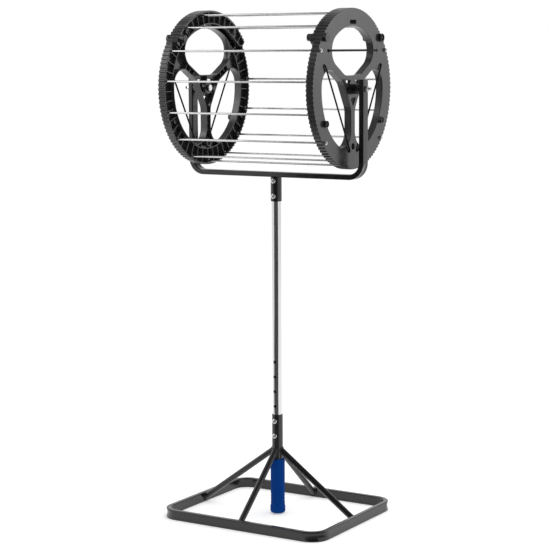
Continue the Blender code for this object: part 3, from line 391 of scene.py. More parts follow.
def make_floor():
    """A pale floor that the background rays see a little brighter, with the object's shadow on it."""
    mesh = bpy.data.meshes.new("floor")
    corners = [(FLOOR_SIZE / 2 * x, FLOOR_SIZE / 2 * y, 0) for x, y in QUARTERS]
    mesh.from_pydata(corners, [], [(0, 1, 2, 3)])
    material = matte("floor", FLOOR_COLOUR)
    tree = material.node_tree
    lift = math_node(tree, "MULTIPLY", background_rays(tree), FLOOR_LIFT)
    glow = {"Emission Color": (1, 1, 1, 1), "Emission Strength": lift}
    set_inputs(tree, tree.nodes["Principled BSDF"], glow)
    mesh.materials.append(material)
    add_object("floor", mesh)


def make_area_light(name, size, place, power, in_gloss, in_diffuse):
    """A soft square light aimed at the object."""
    light = bpy.data.lights.new(name, "AREA")
    light.shape = "SQUARE"
    light.size = size
    light.energy = power
    holder = add_object(name, light)
    holder.location = place
    aim = Vector((0, 0, AXLE / 2)) - Vector(place)
    holder.rotation_euler = aim.to_track_quat("-Z", "Y").to_euler()
    holder.visible_glossy = in_gloss
    holder.visible_diffuse = in_diffuse


def make_dark_card():
    """The unlit side of the studio round the camera, its floor and its wall, which only gloss sees."""
    verts = []
    faces = []
    for radius, height, left, right in CARD_ROWS:
        for n in range(CARD_STEPS + 1):
            angle = CAMERA_AROUND - pi / 2 + radians(left + (right - left) * n / CARD_STEPS)
            verts.append((radius * cos(angle), radius * sin(angle), height))
    for row in range(len(CARD_ROWS) - 1):
        for n in range(CARD_STEPS):
            first = row * (CARD_STEPS + 1) + n
            faces.append((first, first + 1, first + CARD_STEPS + 2, first + CARD_STEPS + 1))
    mesh = bpy.data.meshes.new("dark_card")
    mesh.from_pydata(verts, [], faces)
    mesh.materials.append(matte("card_floor", CARD_FLOOR_COLOUR))
    mesh.materials.append(matte("dark_card", CARD_COLOUR))
    for face in mesh.polygons:
        face.material_index = min(face.index // CARD_STEPS, 1)
    card = add_object("dark_card", mesh)
    for ray in ("camera", "diffuse", "shadow", "transmission"):
        setattr(card, f"visible_{ray}", False)


class Finish:
    """Builds one procedural material from noise in object coordinates."""

    def __init__(self, name, colour, roughness, constants):
        FINISHES[name] = new_material(name, constants)
        self.tree = FINISHES[name].node_tree
        self.coordinates = add_node(self.tree, "TexCoord", {}).outputs["Object"]
        self.colour = add_node(self.tree, "RGB", {}).outputs[0]
        self.colour.default_value = (*colour, 1)
        self.roughness = roughness
        self.height = None

    def noise(self, scale, detail=3.0, stretch=(1, 1, 1)):
        """A noise between 0 and 1, with features about 1 / scale metres across."""
        place = add_node(self.tree, "Mapping", {"Vector": self.coordinates, "Scale": stretch}).outputs[0]
        inputs = {"Vector": place, "Scale": scale, "Detail": detail, "Roughness": NOISE_ROUGHNESS}
        return add_node(self.tree, "TexNoise", inputs).outputs["Fac"]

    def tint(self, value, colour, low, high, share):
        """Mixes a second colour in where the value is high."""
        factor = range_node(self.tree, value, low, high, 0.0, share)
        inputs = {"Factor": factor, "A": self.colour, "B": (*colour, 1)}
        self.colour = add_node(self.tree, "Mix", inputs, data_type="RGBA").outputs["Result"]

    def worn_edges(self, colour, share):
        """A second colour on convex edges, broken up by noise."""
        pointiness = add_node(self.tree, "NewGeometry", {}).outputs["Pointiness"]
        edges = range_node(self.tree, pointiness, 0.52, 0.6)
        patches = range_node(self.tree, self.noise(420.0), 0.4, 0.62)
        self.tint(math_node(self.tree, "MULTIPLY", edges, patches), colour, 0.0, 1.0, share)

    def gloss(self, value, change):
        """Lets the roughness wander by a change either way."""
        low, high = self.roughness - change, self.roughness + change
        self.roughness = range_node(self.tree, value, 0.3, 0.7, low, high)

    def bump(self, value, depth, strength):
        """Raises the surface by a depth in metres where the value is high."""
        inputs = {"Height": value, "Distance": depth, "Strength": strength}
        if self.height is not None:
            inputs["Normal"] = self.height
        self.height = add_node(self.tree, "Bump", inputs).outputs["Normal"]

    def connect(self):
        inputs = {"Base Color": self.colour, "Roughness": self.roughness, "Normal": self.height}
        set_inputs(self.tree, self.tree.nodes["Principled BSDF"], inputs)


def moulded_plastic(name, colour, pale, roughness, ior):
    finish = Finish(name, colour, roughness, {"IOR": ior})
    finish.tint(finish.noise(22.0, 5.0), pale, 0.35, 0.75, 0.5)
    finish.tint(finish.noise(900.0), pale, 0.45, 0.75, 0.35)
    finish.worn_edges(pale, 0.6)
    finish.gloss(finish.noise(60.0, 6.0), 0.05)
    finish.bump(finish.noise(2600.0, 2.0), 0.00002, 0.5)
    finish.bump(finish.noise(35.0, 1.0), 0.0003, 0.12)
    finish.connect()


def powder_coat(name, colour, pale, roughness, ior):
    finish = Finish(name, colour, roughness, {"IOR": ior})
    finish.tint(finish.noise(18.0, 6.0), pale, 0.4, 0.75, 0.5)
    finish.tint(finish.noise(1400.0, 1.0), pale, 0.5, 0.8, 0.5)
    finish.worn_edges(pale, 0.5)
    finish.gloss(finish.noise(45.0, 6.0), 0.05)
    finish.bump(finish.noise(1100.0), 0.00004, 0.5)
    finish.connect()


def drawn_metal(name, colour, dull, roughness, stretch, streaks):
    """A bright metal with streaks along its length, faint stains and fine scratches."""
    finish = Finish(name, colour, roughness, {"Metallic": 1.0})
    finish.tint(finish.noise(14.0, 6.0), dull, 0.45, 0.8, 0.55)
    finish.tint(finish.noise(streaks, 2.0, stretch), dull, 0.5, 0.8, 0.3)
    finish.gloss(finish.noise(streaks, 3.0, stretch), 0.04)
    finish.bump(finish.noise(streaks * 1.6, 2.0, stretch), 0.00001, 0.2)
    finish.connect()


def grip_rubber():
    finish = Finish("blue_rubber", (0.0, 0.042, 0.24), 0.6, {"IOR": 1.35, "Specular IOR Level": 0.12})
    finish.tint(finish.noise(26.0, 5.0), (0.0, 0.058, 0.29), 0.4, 0.75, 0.6)
    finish.tint(finish.noise(1200.0, 2.0), (0.0, 0.026, 0.15), 0.5, 0.8, 0.5)
    finish.worn_edges((0.015, 0.07, 0.24), 0.5)
    finish.gloss(finish.noise(70.0, 5.0), 0.08)
    finish.bump(finish.noise(1500.0), 0.00008, 0.7)
    finish.connect()


def weld_metal():
    finish = Finish("weld", (0.016, 0.014, 0.012), 0.45, {"IOR": 1.6})
    finish.tint(finish.noise(120.0, 5.0), (0.05, 0.04, 0.03), 0.45, 0.7, 0.6)
    finish.gloss(finish.noise(300.0), 0.12)
    finish.bump(finish.noise(700.0, 4.0), 0.0002, 0.8)
    finish.connect()


def mesh_from(name, shape):
    """The mesh of a bmesh, whose faces all point outwards."""
    bmesh.ops.recalc_face_normals(shape, faces=shape.faces)
    mesh = bpy.data.meshes.new(name)
    shape.to_mesh(mesh)
    shape.free()
    return mesh


def bake(piece):
    """Applies the modifiers of a piece to its mesh."""
    evaluated = piece.evaluated_get(bpy.context.evaluated_depsgraph_get())
    mesh = bpy.data.meshes.new_from_object(evaluated)
    piece.modifiers.clear()
    piece.data = mesh
    mesh.name = piece.name


def finish_mesh(name, shape, finish, body, node=None, cut=None):
    """Makes a piece that rides on its body. Flat faces stay flat and round ones smooth."""
    piece = add_object(name, mesh_from(name, shape))
    piece.data.shade_smooth()
    if cut is not None:
        cutter = add_object("cutter", mesh_from("cutter", cut))
        boolean = piece.modifiers.new("cut", "BOOLEAN")
        boolean.operation = "DIFFERENCE"
        boolean.solver = "EXACT"
        boolean.object = cutter
        bake(piece)
        bpy.data.objects.remove(cutter)
    piece.data.set_sharp_from_angle(angle=SHARP_ANGLE)
    weighted = piece.modifiers.new("weighted", "WEIGHTED_NORMAL")
    weighted.keep_sharp = True
    bake(piece)
    piece.data.materials.clear()
    piece.data.materials.append(FINISHES[finish])
    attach(piece, body)
    if node:
        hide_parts(node)


def polar(radius, angle):
    """Y and Z of a place on the drum, with the angle measured from the top towards the back."""
    return radius * sin(angle), radius * cos(angle)


def heading(place):
    """The angle of a place on the drum."""
    return atan2(place[0], place[1])


def arc(radius, start, end, step=ARC_STEP, centre=(0, 0)):
    """Points (y, z) along an arc, about one step of angle apart."""
    steps = max(1, round(abs(end - start) / step))
    points = []
    for n in range(steps + 1):
        y, z = polar(radius, start + (end - start) * n / steps)
        points.append((centre[0] + y, centre[1] + z))
    return points


def circle(centre, radius, sides=HOLE_SIDES):
    return arc(radius, 0, tau, tau / sides, centre)[:-1]


def turned(outline, angle):
    """The outline turned about the drum's axis, from the top towards the back."""
    return [(y * cos(angle) + z * sin(angle), z * cos(angle) - y * sin(angle)) for y, z in outline]


def signed_area(outline):
    pairs = zip(outline, outline[1:] + outline[:1])
    return sum(a[0] * b[1] - b[0] * a[1] for a, b in pairs) / 2


def sink(outline, amount):
    """The outline moved to its left by an amount."""
    moved = []
    for n, point in enumerate(outline):
        here = Vector(point)
        first = (here - Vector(outline[n - 1])).normalized()
        second = (Vector(outline[(n + 1) % len(outline)]) - here).normalized()
        left = Vector((-first.y, first.x))
        normal = Vector((-first.y - second.y, first.x + second.x))
        if normal.length < 1e-6:
            normal = left.copy()
        normal.normalize()
        moved.append(tuple(here + normal * amount / max(MITRE_LIMIT, normal.dot(left))))
    return moved


def grown(outline, amount):
    """The outline moved outwards all round."""
    if signed_area(outline) > 0:
        outline = outline[::-1]
    return sink(outline, amount)


def rounded(points, radius, steps=4):
    """An open profile whose inner corners are rounded."""
    out = [points[0]]
    for before, here, after in zip(points, points[1:], points[2:]):
        here = Vector(here)
        first = Vector(before) - here
        second = Vector(after) - here
        cut = min(radius, first.length / 2, second.length / 2)
        start = here + first.normalized() * cut
        end = here + second.normalized() * cut
        for n in range(steps + 1):
            t = n / steps
            out.append(tuple(start * (1 - t) ** 2 + here * 2 * t * (1 - t) + end * t**2))
    out.append(points[-1])
    return out


def rounded_outline(points, radius):
    """A closed outline with round corners, which starts at the middle of its level lower side."""
    start = (0, points[0][1])
    return rounded([start] + points + [start], radius)[:-1]


def strip(start, end, width):
    """The outline of a straight rib between two places."""
    start, end = Vector(start), Vector(end)
    aside = (end - start).normalized().orthogonal() * width / 2
    return [tuple(start + aside), tuple(end + aside), tuple(end - aside), tuple(start - aside)]


def join_loops(shape, one, other):
    """The band of faces between two loops of vertices."""
    for n in range(len(one)):
        after = (n + 1) % len(one)
        shape.faces.new((one[n], one[after], other[after], other[n]))


def fill_between(shape, loops):
    """Fills the face across X between an outer loop and the loops of its holes."""
    verts = [vert for loop in loops for vert in loop]
    points = [Vector((vert.co.y, vert.co.z)) for vert in verts]
    edges = []
    for loop in loops:
        first = len(edges)
        edges += [(first + n, first + (n + 1) % len(loop)) for n in range(len(loop))]
    out, _, faces, origins, _, _ = geometry.delaunay_2d_cdt(points, edges, [], 0, 1e-7)
    starts = np.array([points[n] for n, _ in edges])
    ends = np.array([points[n] for _, n in edges])
    for face in faces:
        middle = sum((out[n] for n in face), Vector((0, 0))) / len(face)
        crosses = (starts[:, 1] > middle.y) != (ends[:, 1] > middle.y)
        share = (middle.y - starts[crosses, 1]) / (ends[crosses, 1] - starts[crosses, 1])
        reach = starts[crosses, 0] + share * (ends[crosses, 0] - starts[crosses, 0])
        if np.count_nonzero(reach > middle.x) % 2:
            shape.faces.new([verts[origins[n][0]] for n in face])


def add_slab(shape, outlines, low, high, round_low=0.0, round_high=0.0):
    """A plate along X from an outer outline and its holes, with rounded edges."""
    way = copysign(1, high - low)
    stations = []
    for edge, radius, order in ((low, round_low, 1), (high, round_high, -1)):
        angles = [n / ROUND_STEPS * pi / 2 for n in range(ROUND_STEPS + 1)] if radius else [pi / 2]
        for angle in angles[::order]:
            along = edge + order * way * radius * (1 - cos(angle))
            stations.append((along, radius * (1 - sin(angle))))
    rings = []
    for order, outline in enumerate(outlines):
        clockwise = signed_area(outline) < 0
        if clockwise == (order == 0):
            outline = outline[::-1]
        loops = []
        for x, amount in stations:
            points = sink(outline, amount) if amount else outline
            loops.append([shape.verts.new((x, y, z)) for y, z in points])
        for one, other in zip(loops, loops[1:]):
            join_loops(shape, one, other)
        rings.append(loops)
    for end in (0, -1):
        fill_between(shape, [loops[end] for loops in rings])


def add_boss(shape, place, radius, bore, low, high, edge=0.0):
    """A round seat along X, with a bore unless that is 0."""
    add_slab(shape, [circle(place, size) for size in (radius, bore) if size], low, high, edge)


def axis_matrix(place, way):
    """A frame at a place whose Z runs one way."""
    return Matrix.Translation(place) @ Vector(way).to_track_quat("Z", "Y").to_matrix().to_4x4()


def add_loft(shape, loops, closed=False):
    """Joins loops of points into a skin, with end faces unless the path is closed."""
    rings = [[shape.verts.new(point) for point in loop] for loop in loops]
    for one, other in zip(rings, rings[1:]):
        join_loops(shape, one, other)
    if closed:
        join_loops(shape, rings[-1], rings[0])
    else:
        shape.faces.new(rings[0])
        shape.faces.new(rings[-1])


def hex_radius(angle, across_corners):
    """The distance to a hexagon's edge in one direction."""
    third = pi / 3
    return across_corners * cos(third / 2) / cos(angle % third - third / 2)


def add_turned(shape, profile, place, way, sides, hollow=False):
    """Turns (radius, distance) rows about an axis, capped unless hollow. A row marked hex has six sides."""
    frame = axis_matrix(place, way)
    loops = []
    for radius, along, *mark in profile:
        loop = []
        for n in range(sides):
            angle = tau * n / sides
            reach = hex_radius(angle, radius) if mark else radius
            loop.append(frame @ Vector((reach * cos(angle), reach * sin(angle), along)))
        loops.append(loop)
    add_loft(shape, loops, closed=hollow)


def build_turned(name, node, profile, place, way, finish, body, sides):
    shape = bmesh.new()
    add_turned(shape, profile, place, way, sides)
    finish_mesh(name, shape, finish, body, node)


def measure(node):
    """The low and high corners of a CAD node, its middle and half its height."""
    low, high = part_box(node)
    return low, high, (low + high) / 2, (high.z - low.z) / 2


def x_reach(node):
    """A node's nearest and furthest distance from the middle of the axle."""
    low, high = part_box(node)
    return sorted((abs(low.x), abs(high.x)))


def finish_on_drum(name, shape, body, node):
    """Lifts a shape that was drawn round the axle to its height, and finishes it."""
    bmesh.ops.translate(shape, verts=shape.verts, vec=(0, 0, AXLE))
    finish_mesh(name, shape, "grey_plastic", body, node)


def tread(start, end):
    """The teeth between two angles, shallow where the hatch is."""
    points = []
    root = (1 - TOOTH_FLOOR) / 2
    crest = TOOTH_CREST / 2
    for n in range(ceil(start / TOOTH_PITCH - 1e-9), floor(end / TOOTH_PITCH + 1e-9)):
        depth = HATCH_TOOTH_DEPTH if abs(n + 0.5) < SHALLOW_TEETH else TOOTH_DEPTH
        for offset, drop in ((-root, depth), (-crest, 0), (crest, 0), (root, depth)):
            points.append(polar(DRUM_RADIUS - drop, (n + 0.5 + offset) * TOOTH_PITCH))
    return points


def window_outline(turn):
    """A window between two spokes, turned from the top, with a flat end towards the hub."""
    half = SPOKE_WIDTH / 2
    reach = RING_INNER - WINDOW_FILLET
    end = HALF_WINDOW - asin((half + WINDOW_FILLET) / reach)
    rim_end = arc(WINDOW_FILLET, end, HALF_WINDOW + pi / 2, FILLET_STEP, polar(reach, end))
    above_flat = HUB_FLAT_DISTANCE + HUB_FILLET
    aside = (above_flat * sin(HALF_WINDOW) - half - HUB_FILLET) / cos(HALF_WINDOW)
    hub_end = arc(HUB_FILLET, HALF_WINDOW + pi / 2, pi, FILLET_STEP, (aside, above_flat))
    right = rim_end + hub_end
    left = [(-y, z) for y, z in reversed(right)]
    return turned(left + arc(RING_INNER, -end, end)[1:-1] + right, turn)


def slot_outline():
    """The long opening at the top of the disc."""
    half = SLOT_WIDTH / 2
    low = SLOT_TOP - SLOT_HEIGHT
    return rounded_outline([(half, low), (half, SLOT_TOP), (-half, SLOT_TOP), (-half, low)], SLOT_ROUND)


def wire_places():
    """(place, kind) of each cage wire: on the hatch, a tie bolt or fixed."""
    places = []
    for n in range(WIRE_COUNT):
        order = min(n, WIRE_COUNT - 1 - n)
        kind = "hatch" if order < HATCH_WIRES // 2 else "tie" if order in TIE_ORDERS else "wire"
        places.append((polar(WIRE_CIRCLE, WIRE_PITCH * (n + 0.5)), kind))
    return places


def guard_places():
    """Where the ends of the guard rods go into one end disc."""
    leans = (-GUARD_SPREAD, GUARD_SPREAD)
    return [polar(DRUM_RADIUS - GUARD_INSET, turn + lean) for turn in WINDOW_TURNS for lean in leans]


def plate_holes():
    """Everything that opens in one end disc's face."""
    holes = [window_outline(turn) for turn in WINDOW_TURNS] + [slot_outline()]
    holes += [circle(SPOKE_HOLE_PLACE, SPOKE_HOLE_RADIUS), circle((0, 0), HUB_BORE)]
    holes += [circle(polar(PIN_CIRCLE, angle), PIN_BORE) for angle in (-PIN_ANGLE, PIN_ANGLE)]
    holes += [circle(place, TIE_BORE) for place, kind in wire_places() if kind == "tie"]
    hub_hole = rounded_outline(HUB_HOLE_CORNERS, HUB_HOLE_ROUND)
    holes += [turned(hub_hole, turn + HALF_WINDOW) for turn in WINDOW_TURNS]
    return holes + [circle(place, GUARD_HOLE) for place in guard_places()]


def spoke_half_width(distance):
    """Half the width of a spoke at a distance from the hub."""
    outline = [(z, -y) for y, z in window_outline(-HALF_WINDOW) if z > HUB_FLAT_DISTANCE]
    near = sorted((z, half) for z, half in outline if 0 < half < SPOKE_SIDE_REACH)
    return float(np.interp(distance, [z for z, _ in near], [half for _, half in near]))


def add_bosses(shape, side, plate):
    """The round seats behind the face plate for pins, plugs, wires, ties and guard rods."""
    back = side * (DISC_BACK + INNER_ROUND)
    add_boss(shape, (0, 0), HUB_BOSS, HUB_BORE, back, plate)
    add_boss(shape, SPOKE_HOLE_PLACE, SPOKE_HOLE_BOSS, SPOKE_HOLE_RADIUS, back, plate, INNER_ROUND)
    for sign in (-1, 1):
        add_boss(shape, polar(PIN_CIRCLE, sign * PIN_ANGLE), PIN_BOSS, PIN_BORE, back, plate)
        plug = polar(DRUM_RADIUS - PLUG_INSET, sign * PLUG_ANGLE)
        add_boss(shape, plug, PLUG_BOSS, 0, side * (DISC_FACE - PLUG_BOSS_DEPTH), plate)
    for place, kind in wire_places():
        if kind == "wire":
            add_boss(shape, place, WIRE_BOSS, 0, back, plate, INNER_ROUND)
        if kind == "tie":
            add_boss(shape, place, WIRE_BOSS, TIE_BORE, back, plate)
    for place in guard_places():
        add_boss(shape, place, GUARD_BOSS, 0, side * (DISC_FACE - GUARD_BOSS_DEPTH), plate)


def add_ribs(shape, low, plate):
    """The thin ribs behind the face plate: round the rim, across each spoke and out from the hub."""
    slot_end = asin(SLOT_WIDTH / 2 / SLOT_TOP)
    ring = DRUM_RADIUS - RING_WALL_INSET - SHELL_WALL / 2
    for n in range(WIRE_COUNT * RIBS_PER_WIRE):
        angle = (n + 0.5) * WIRE_PITCH / RIBS_PER_WIRE
        from_top = abs((angle + pi) % tau - pi)
        inner = SLOT_TOP + SHELL_RIB if from_top < slot_end else ring
        rib = strip(polar(inner, angle), polar(DRUM_RADIUS - RIM_RIB_END, angle), SHELL_RIB)
        add_slab(shape, [rib], low, plate)
    for turn in WINDOW_TURNS:
        for place in SPOKE_RIB_PLACES:
            half = spoke_half_width(place) - SHELL_WALL / 2
            rib = strip((-half, place), (half, place), SHELL_RIB)
            add_slab(shape, [turned(rib, turn + HALF_WINDOW)], low, plate)
        rib = strip((0, HUB_RIB_START), (0, HUB_FLAT_DISTANCE - SHELL_WALL / 2), SHELL_RIB)
        add_slab(shape, [turned(rib, turn)], low, plate)


def build_end_disc(word, side):
    shallow = SHALLOW_TEETH * TOOTH_PITCH
    rim = tread(-shallow, tau - shallow)
    back = side * DISC_BACK
    plate = side * (DISC_FACE - FACE_PLATE)
    shape = bmesh.new()
    add_slab(shape, [rim] + plate_holes(), plate, side * DISC_FACE, 0.0, EDGE_ROUND)
    add_slab(shape, [rim, circle((0, 0), DRUM_RADIUS - RIM_WALL, TEETH)], back, plate, INNER_ROUND)
    for turn in WINDOW_TURNS:
        window = window_outline(turn)
        add_slab(shape, [grown(window, SHELL_WALL), window], back, plate, INNER_ROUND)
    add_slab(shape, [grown(slot_outline(), SHELL_RIB), slot_outline()], back, plate)
    low = side * (DISC_BACK + RIB_DROP)
    outer = DRUM_RADIUS - RING_WALL_INSET
    add_slab(shape, [circle((0, 0), radius, TEETH) for radius in (outer, outer - SHELL_WALL)], low, plate)
    add_bosses(shape, side, plate)
    add_ribs(shape, low, plate)
    finish_on_drum(f"disc_{word}", shape, "drum", f"end_disc_{word}")


def pin_spread(radius, reach):
    """The angle at the axle from a pin to where a circle round it crosses one round the axle."""
    return acos((PIN_CIRCLE**2 + radius**2 - reach**2) / (2 * PIN_CIRCLE * radius))


def lobe_wall():
    """The lobe's pin, the direction of its last place on the circle, and the inner wall's two ends."""
    pin = Vector(polar(PIN_CIRCLE, PIN_ANGLE))
    shoulder = Vector(polar(BAND_INNER, SHOULDER_ANGLE))
    offset = shoulder - pin
    tangent = heading(offset) - acos(LOBE_RADIUS / offset.length) + tau
    outward = Vector(polar(1, tangent))
    return pin, tangent, shoulder - outward * HATCH_WALL, pin + outward * LOBE_POCKET


def hatch_outline():
    """The hatch's side arc: a toothed band with a lobe at one end and a hook at the other."""
    pin, tangent, _, _ = lobe_wall()
    end_angle = PIN_ANGLE + pin_spread(DRUM_RADIUS, LOBE_RADIUS)
    to_rim = heading(Vector(polar(DRUM_RADIUS, end_angle)) - pin)
    lobe = arc(LOBE_RADIUS, to_rim, tangent, FILLET_STEP, pin)
    half_mouth = asin(HOOK_MOUTH / LOBE_RADIUS)
    hook = arc(LOBE_RADIUS, tangent, pi + half_mouth, FILLET_STEP, pin)
    hook += arc(HOOK_MOUTH, -pi / 2, pi / 2, FILLET_STEP, pin)
    hook += arc(LOBE_RADIUS, pi - half_mouth, to_rim, FILLET_STEP, pin)
    inner = arc(BAND_INNER, SHOULDER_ANGLE, -SHOULDER_ANGLE)
    return tread(-end_angle, end_angle) + lobe + inner + [(-y, z) for y, z in hook]


def hatch_pockets():
    """The pockets between the thin ribs of one hatch arc, with sides parallel to the ribs."""
    outlines = []
    pitch = WIRE_PITCH / RIBS_PER_WIRE
    near = asin(HATCH_RIB / 2 / POCKET_INNER)
    far = asin(HATCH_RIB / 2 / POCKET_OUTER)
    for n in range((HATCH_WIRES - 1) * RIBS_PER_WIRE):
        start = n * pitch - LAST_HATCH_WIRE
        end = start + pitch
        outer = arc(POCKET_OUTER, start + far, end - far)
        outlines.append(outer + arc(POCKET_INNER, end - near, start + near))
    return outlines


def beside(angle, aside, first, second):
    """Where a line beside a radius of the drum crosses the line between two places."""
    along = Vector(polar(1, angle))
    across = Vector((along.y, -along.x)) * aside
    return tuple(geometry.intersect_line_line_2d(across, across + along, first, second))


def lobe_pockets():
    """The pockets of the lobes: two beside a rib at the hinge pin, and one round the hook's mouth."""
    pin, tangent, wall_start, wall_end = lobe_wall()
    half = HATCH_RIB / 2
    lean = asin(half / POCKET_OUTER)
    start = LAST_HATCH_WIRE + lean
    foot = [tuple(wall_start), polar(POCKET_INNER, LAST_HATCH_WIRE + asin(half / POCKET_INNER))]
    near = arc(POCKET_OUTER, start, LOBE_RIB_ANGLE - lean)
    near += [beside(LOBE_RIB_ANGLE, -half, wall_start, wall_end)] + foot
    end = PIN_ANGLE + pin_spread(POCKET_OUTER, LOBE_POCKET)
    corner = heading(Vector(polar(POCKET_OUTER, end)) - pin)
    far = arc(POCKET_OUTER, LOBE_RIB_ANGLE + lean, end)
    far += arc(LOBE_POCKET, corner, tangent, FILLET_STEP, pin)[1:]
    far.append(beside(LOBE_RIB_ANGLE, half, wall_start, wall_end))
    end = PIN_ANGLE - pin_spread(POCKET_OUTER, PIN_BOSS)
    corner = heading(Vector(polar(POCKET_OUTER, end)) - pin) + tau
    wall = HOOK_MOUTH + HOOK_MOUTH_WALL
    hook = arc(POCKET_OUTER, start, end)
    hook += arc(PIN_BOSS, corner, pi + asin(wall / PIN_BOSS), FILLET_STEP, pin)[1:]
    hook += arc(LOBE_POCKET, pi + asin(wall / LOBE_POCKET), tangent, FILLET_STEP, pin) + foot
    return [near, far, [(-y, z) for y, z in hook]]


def build_hatch_arc(word, side):
    bore = circle(polar(PIN_CIRCLE, PIN_ANGLE), HINGE_BORE)
    plate = side * (HATCH_FACE - HATCH_WALL)
    back = side * (HATCH_BACK + INNER_ROUND)
    outline = hatch_outline()
    shape = bmesh.new()
    add_slab(shape, [outline, bore], plate, side * HATCH_FACE, 0.0, EDGE_ROUND)
    add_slab(shape, [outline] + hatch_pockets() + lobe_pockets(), side * HATCH_BACK, plate, INNER_ROUND)
    for place, kind in wire_places():
        if kind == "hatch":
            add_boss(shape, place, WIRE_BOSS, 0, back, plate)
    for angle in (-RING_SEAT_ANGLE, RING_SEAT_ANGLE):
        add_boss(shape, polar(RING_SEAT_CIRCLE, angle), RING_SEAT_RADIUS, RING_SEAT_BORE, back, plate)
        foot = polar(BAND_INNER + HATCH_WALL / 2, angle)
        add_slab(shape, [strip(foot, polar(RING_SEAT_CIRCLE - RING_RIB_END, angle), RING_RIB)], back, plate)
    finish_on_drum(f"lid_arc_{word}", shape, "hatch", f"hatch_arc_{word}")


def build_knobs(word, side):
    """The black heads of the hatch's pins and of the plugs. A pin without a barrel ends in the hatch."""
    face = DISC_FACE + SEAT_GAP
    inner = HATCH_BACK - SEAT_GAP
    for kind in ("hinge_pin", "latch_pin", "plug_front", "plug_back"):
        node = f"{kind}_{word}"
        low, high, middle, _ = measure(node)
        radius = (high.y - low.y) / 2
        foot, top = x_reach(node)
        is_pin = kind.endswith("pin")
        if is_pin and inner - foot < HEAD_ROUND:
            foot = HATCH_FACE - HATCH_WALL - PIN_TIP
        profile = [(AXIS_RADIUS, foot), (PIN_STEM, foot)]
        if is_pin and foot < inner:
            profile = [(AXIS_RADIUS, foot), (BARREL_RADIUS, foot), (BARREL_RADIUS, inner), (PIN_STEM, inner)]
        profile += [(PIN_STEM, face), (radius, face), (radius, top)]
        if kind != "latch_pin":
            wall = radius - HEAD_RIM
            bottom = top - HEAD_RECESS
            profile += [(wall, top), (wall, bottom), (HEAD_POST, bottom)]
            top -= HEAD_POST_DROP
            profile.append((HEAD_POST, top))
        profile = rounded(profile + [(AXIS_RADIUS, top)], HEAD_ROUND)
        place = (0, middle.y, middle.z)
        name = f"{kind}_head_{word}"
        build_turned(name, node, profile, place, (side, 0, 0), "black_plastic", "drum", KNOB_SIDES)


def add_socket_screw(shape, place, way, radius, height, shank, length):
    """A domed screw with a six-sided recess. Its place is under the head, and way points out of it."""
    brim = height * SCREW_BRIM_SHARE
    rows = [(AXIS_RADIUS, -length), (shank, -length), (shank, 0.0)]
    rows += [(radius * SCREW_SEAT_SHARE, 0.0), (radius, brim)]
    for n in range(1, DOME_STEPS + 1):
        angle = n / DOME_STEPS * SCREW_DOME
        rise = sin(angle) / sin(SCREW_DOME)
        rows.append((radius * cos(angle), brim + (height - brim) * rise))
    for share, along in SOCKET_ROWS:
        rows.append((radius * SOCKET_SHARE * share, height * along, "hex"))
    add_turned(shape, rows, place, way, SCREW_SIDES)


def build_screws():
    seat = -SLEEVE_RADIUS - SEAT_GAP
    for prefix, body in (("socket", "mast"), ("stand", "stand")):
        for level in ("upper", "lower"):
            node = f"{prefix}_screw_{level}"
            low, high, middle, radius = measure(node)
            place = (0, seat, middle.z)
            shape = bmesh.new()
            add_socket_screw(shape, place, (0, -1, 0), radius, seat - low.y, SCREW_SHANK, high.y - seat)
            finish_mesh(f"{node}_head", shape, "zinc", body, node)


def add_hex_nut(shape, place, way, radius, height, bore):
    """A nut whose corners are cut back at both faces, standing on its place."""
    flat = radius * cos(pi / 6) * NUT_FACE_SHARE
    cut = height * NUT_CHAMFER_SHARE
    rows = [(bore, 0.0), (flat, 0.0), (radius, cut, "hex")]
    rows += [(radius, height - cut, "hex"), (flat, height), (bore, height)]
    add_turned(shape, rows, place, way, NUT_SIDES, hollow=True)


def thread_profile(radius, start, end):
    """A threaded length as rings, from start to end."""
    points = []
    count = max(1, int((end - start) / THREAD_PITCH))
    for n in range(count):
        for share, drop in ((0, THREAD_DEPTH), (THREAD_RISE, 0), (1 - THREAD_RISE, 0)):
            points.append((radius - drop, start + (n + share) * (end - start) / count))
    return points + [(radius - THREAD_DEPTH, end)]


def build_axle(word, side):
    """The bolt that carries one end of the drum, and its locking nut."""
    bolt = f"axle_bolt_{word}"
    nut = f"axle_nut_{word}"
    way = (side, 0, 0)
    head = measure(bolt)[3]
    inner, tip = x_reach(bolt)
    nut_start, nut_end = x_reach(nut)
    seat = DISC_BACK - WIDE_GAP
    point, taper = AXLE_POINT
    bolt_head = [(AXIS_RADIUS, inner), (head, inner), (head, seat), (AXLE_SHANK, seat)]
    profile = rounded(bolt_head, AXLE_HEAD_ROUND)
    profile += [(AXLE_SHANK, nut_start)] + thread_profile(AXLE_SHANK, nut_end, tip - taper)
    profile += [(point, tip), (AXIS_RADIUS, tip)]
    build_turned(f"axle_{word}", bolt, profile, (0, 0, AXLE), way, "zinc", "mast", AXLE_SIDES)
    low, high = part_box(nut)
    radius = max(high.y - low.y, high.z - low.z) / 2
    foot, shoulder = LOCK_COLLAR_SHARES
    height = (nut_end - nut_start) * LOCK_COLLAR_START
    collar = nut_start + height
    shape = bmesh.new()
    add_hex_nut(shape, (side * nut_start, 0, AXLE), way, radius, height, AXLE_NUT_BORE)
    ring = [(AXLE_NUT_BORE, collar), (radius * foot, collar)]
    ring += [(radius * shoulder, nut_end - LOCK_COLLAR_DROP), (LOCK_COLLAR_LIP, nut_end)]
    ring.append((AXLE_NUT_BORE, nut_end - LOCK_BORE_DROP))
    add_turned(shape, ring, (0, 0, AXLE), way, AXLE_SIDES, hollow=True)
    finish_mesh(f"axle_lock_nut_{word}", shape, "zinc", "mast", nut)


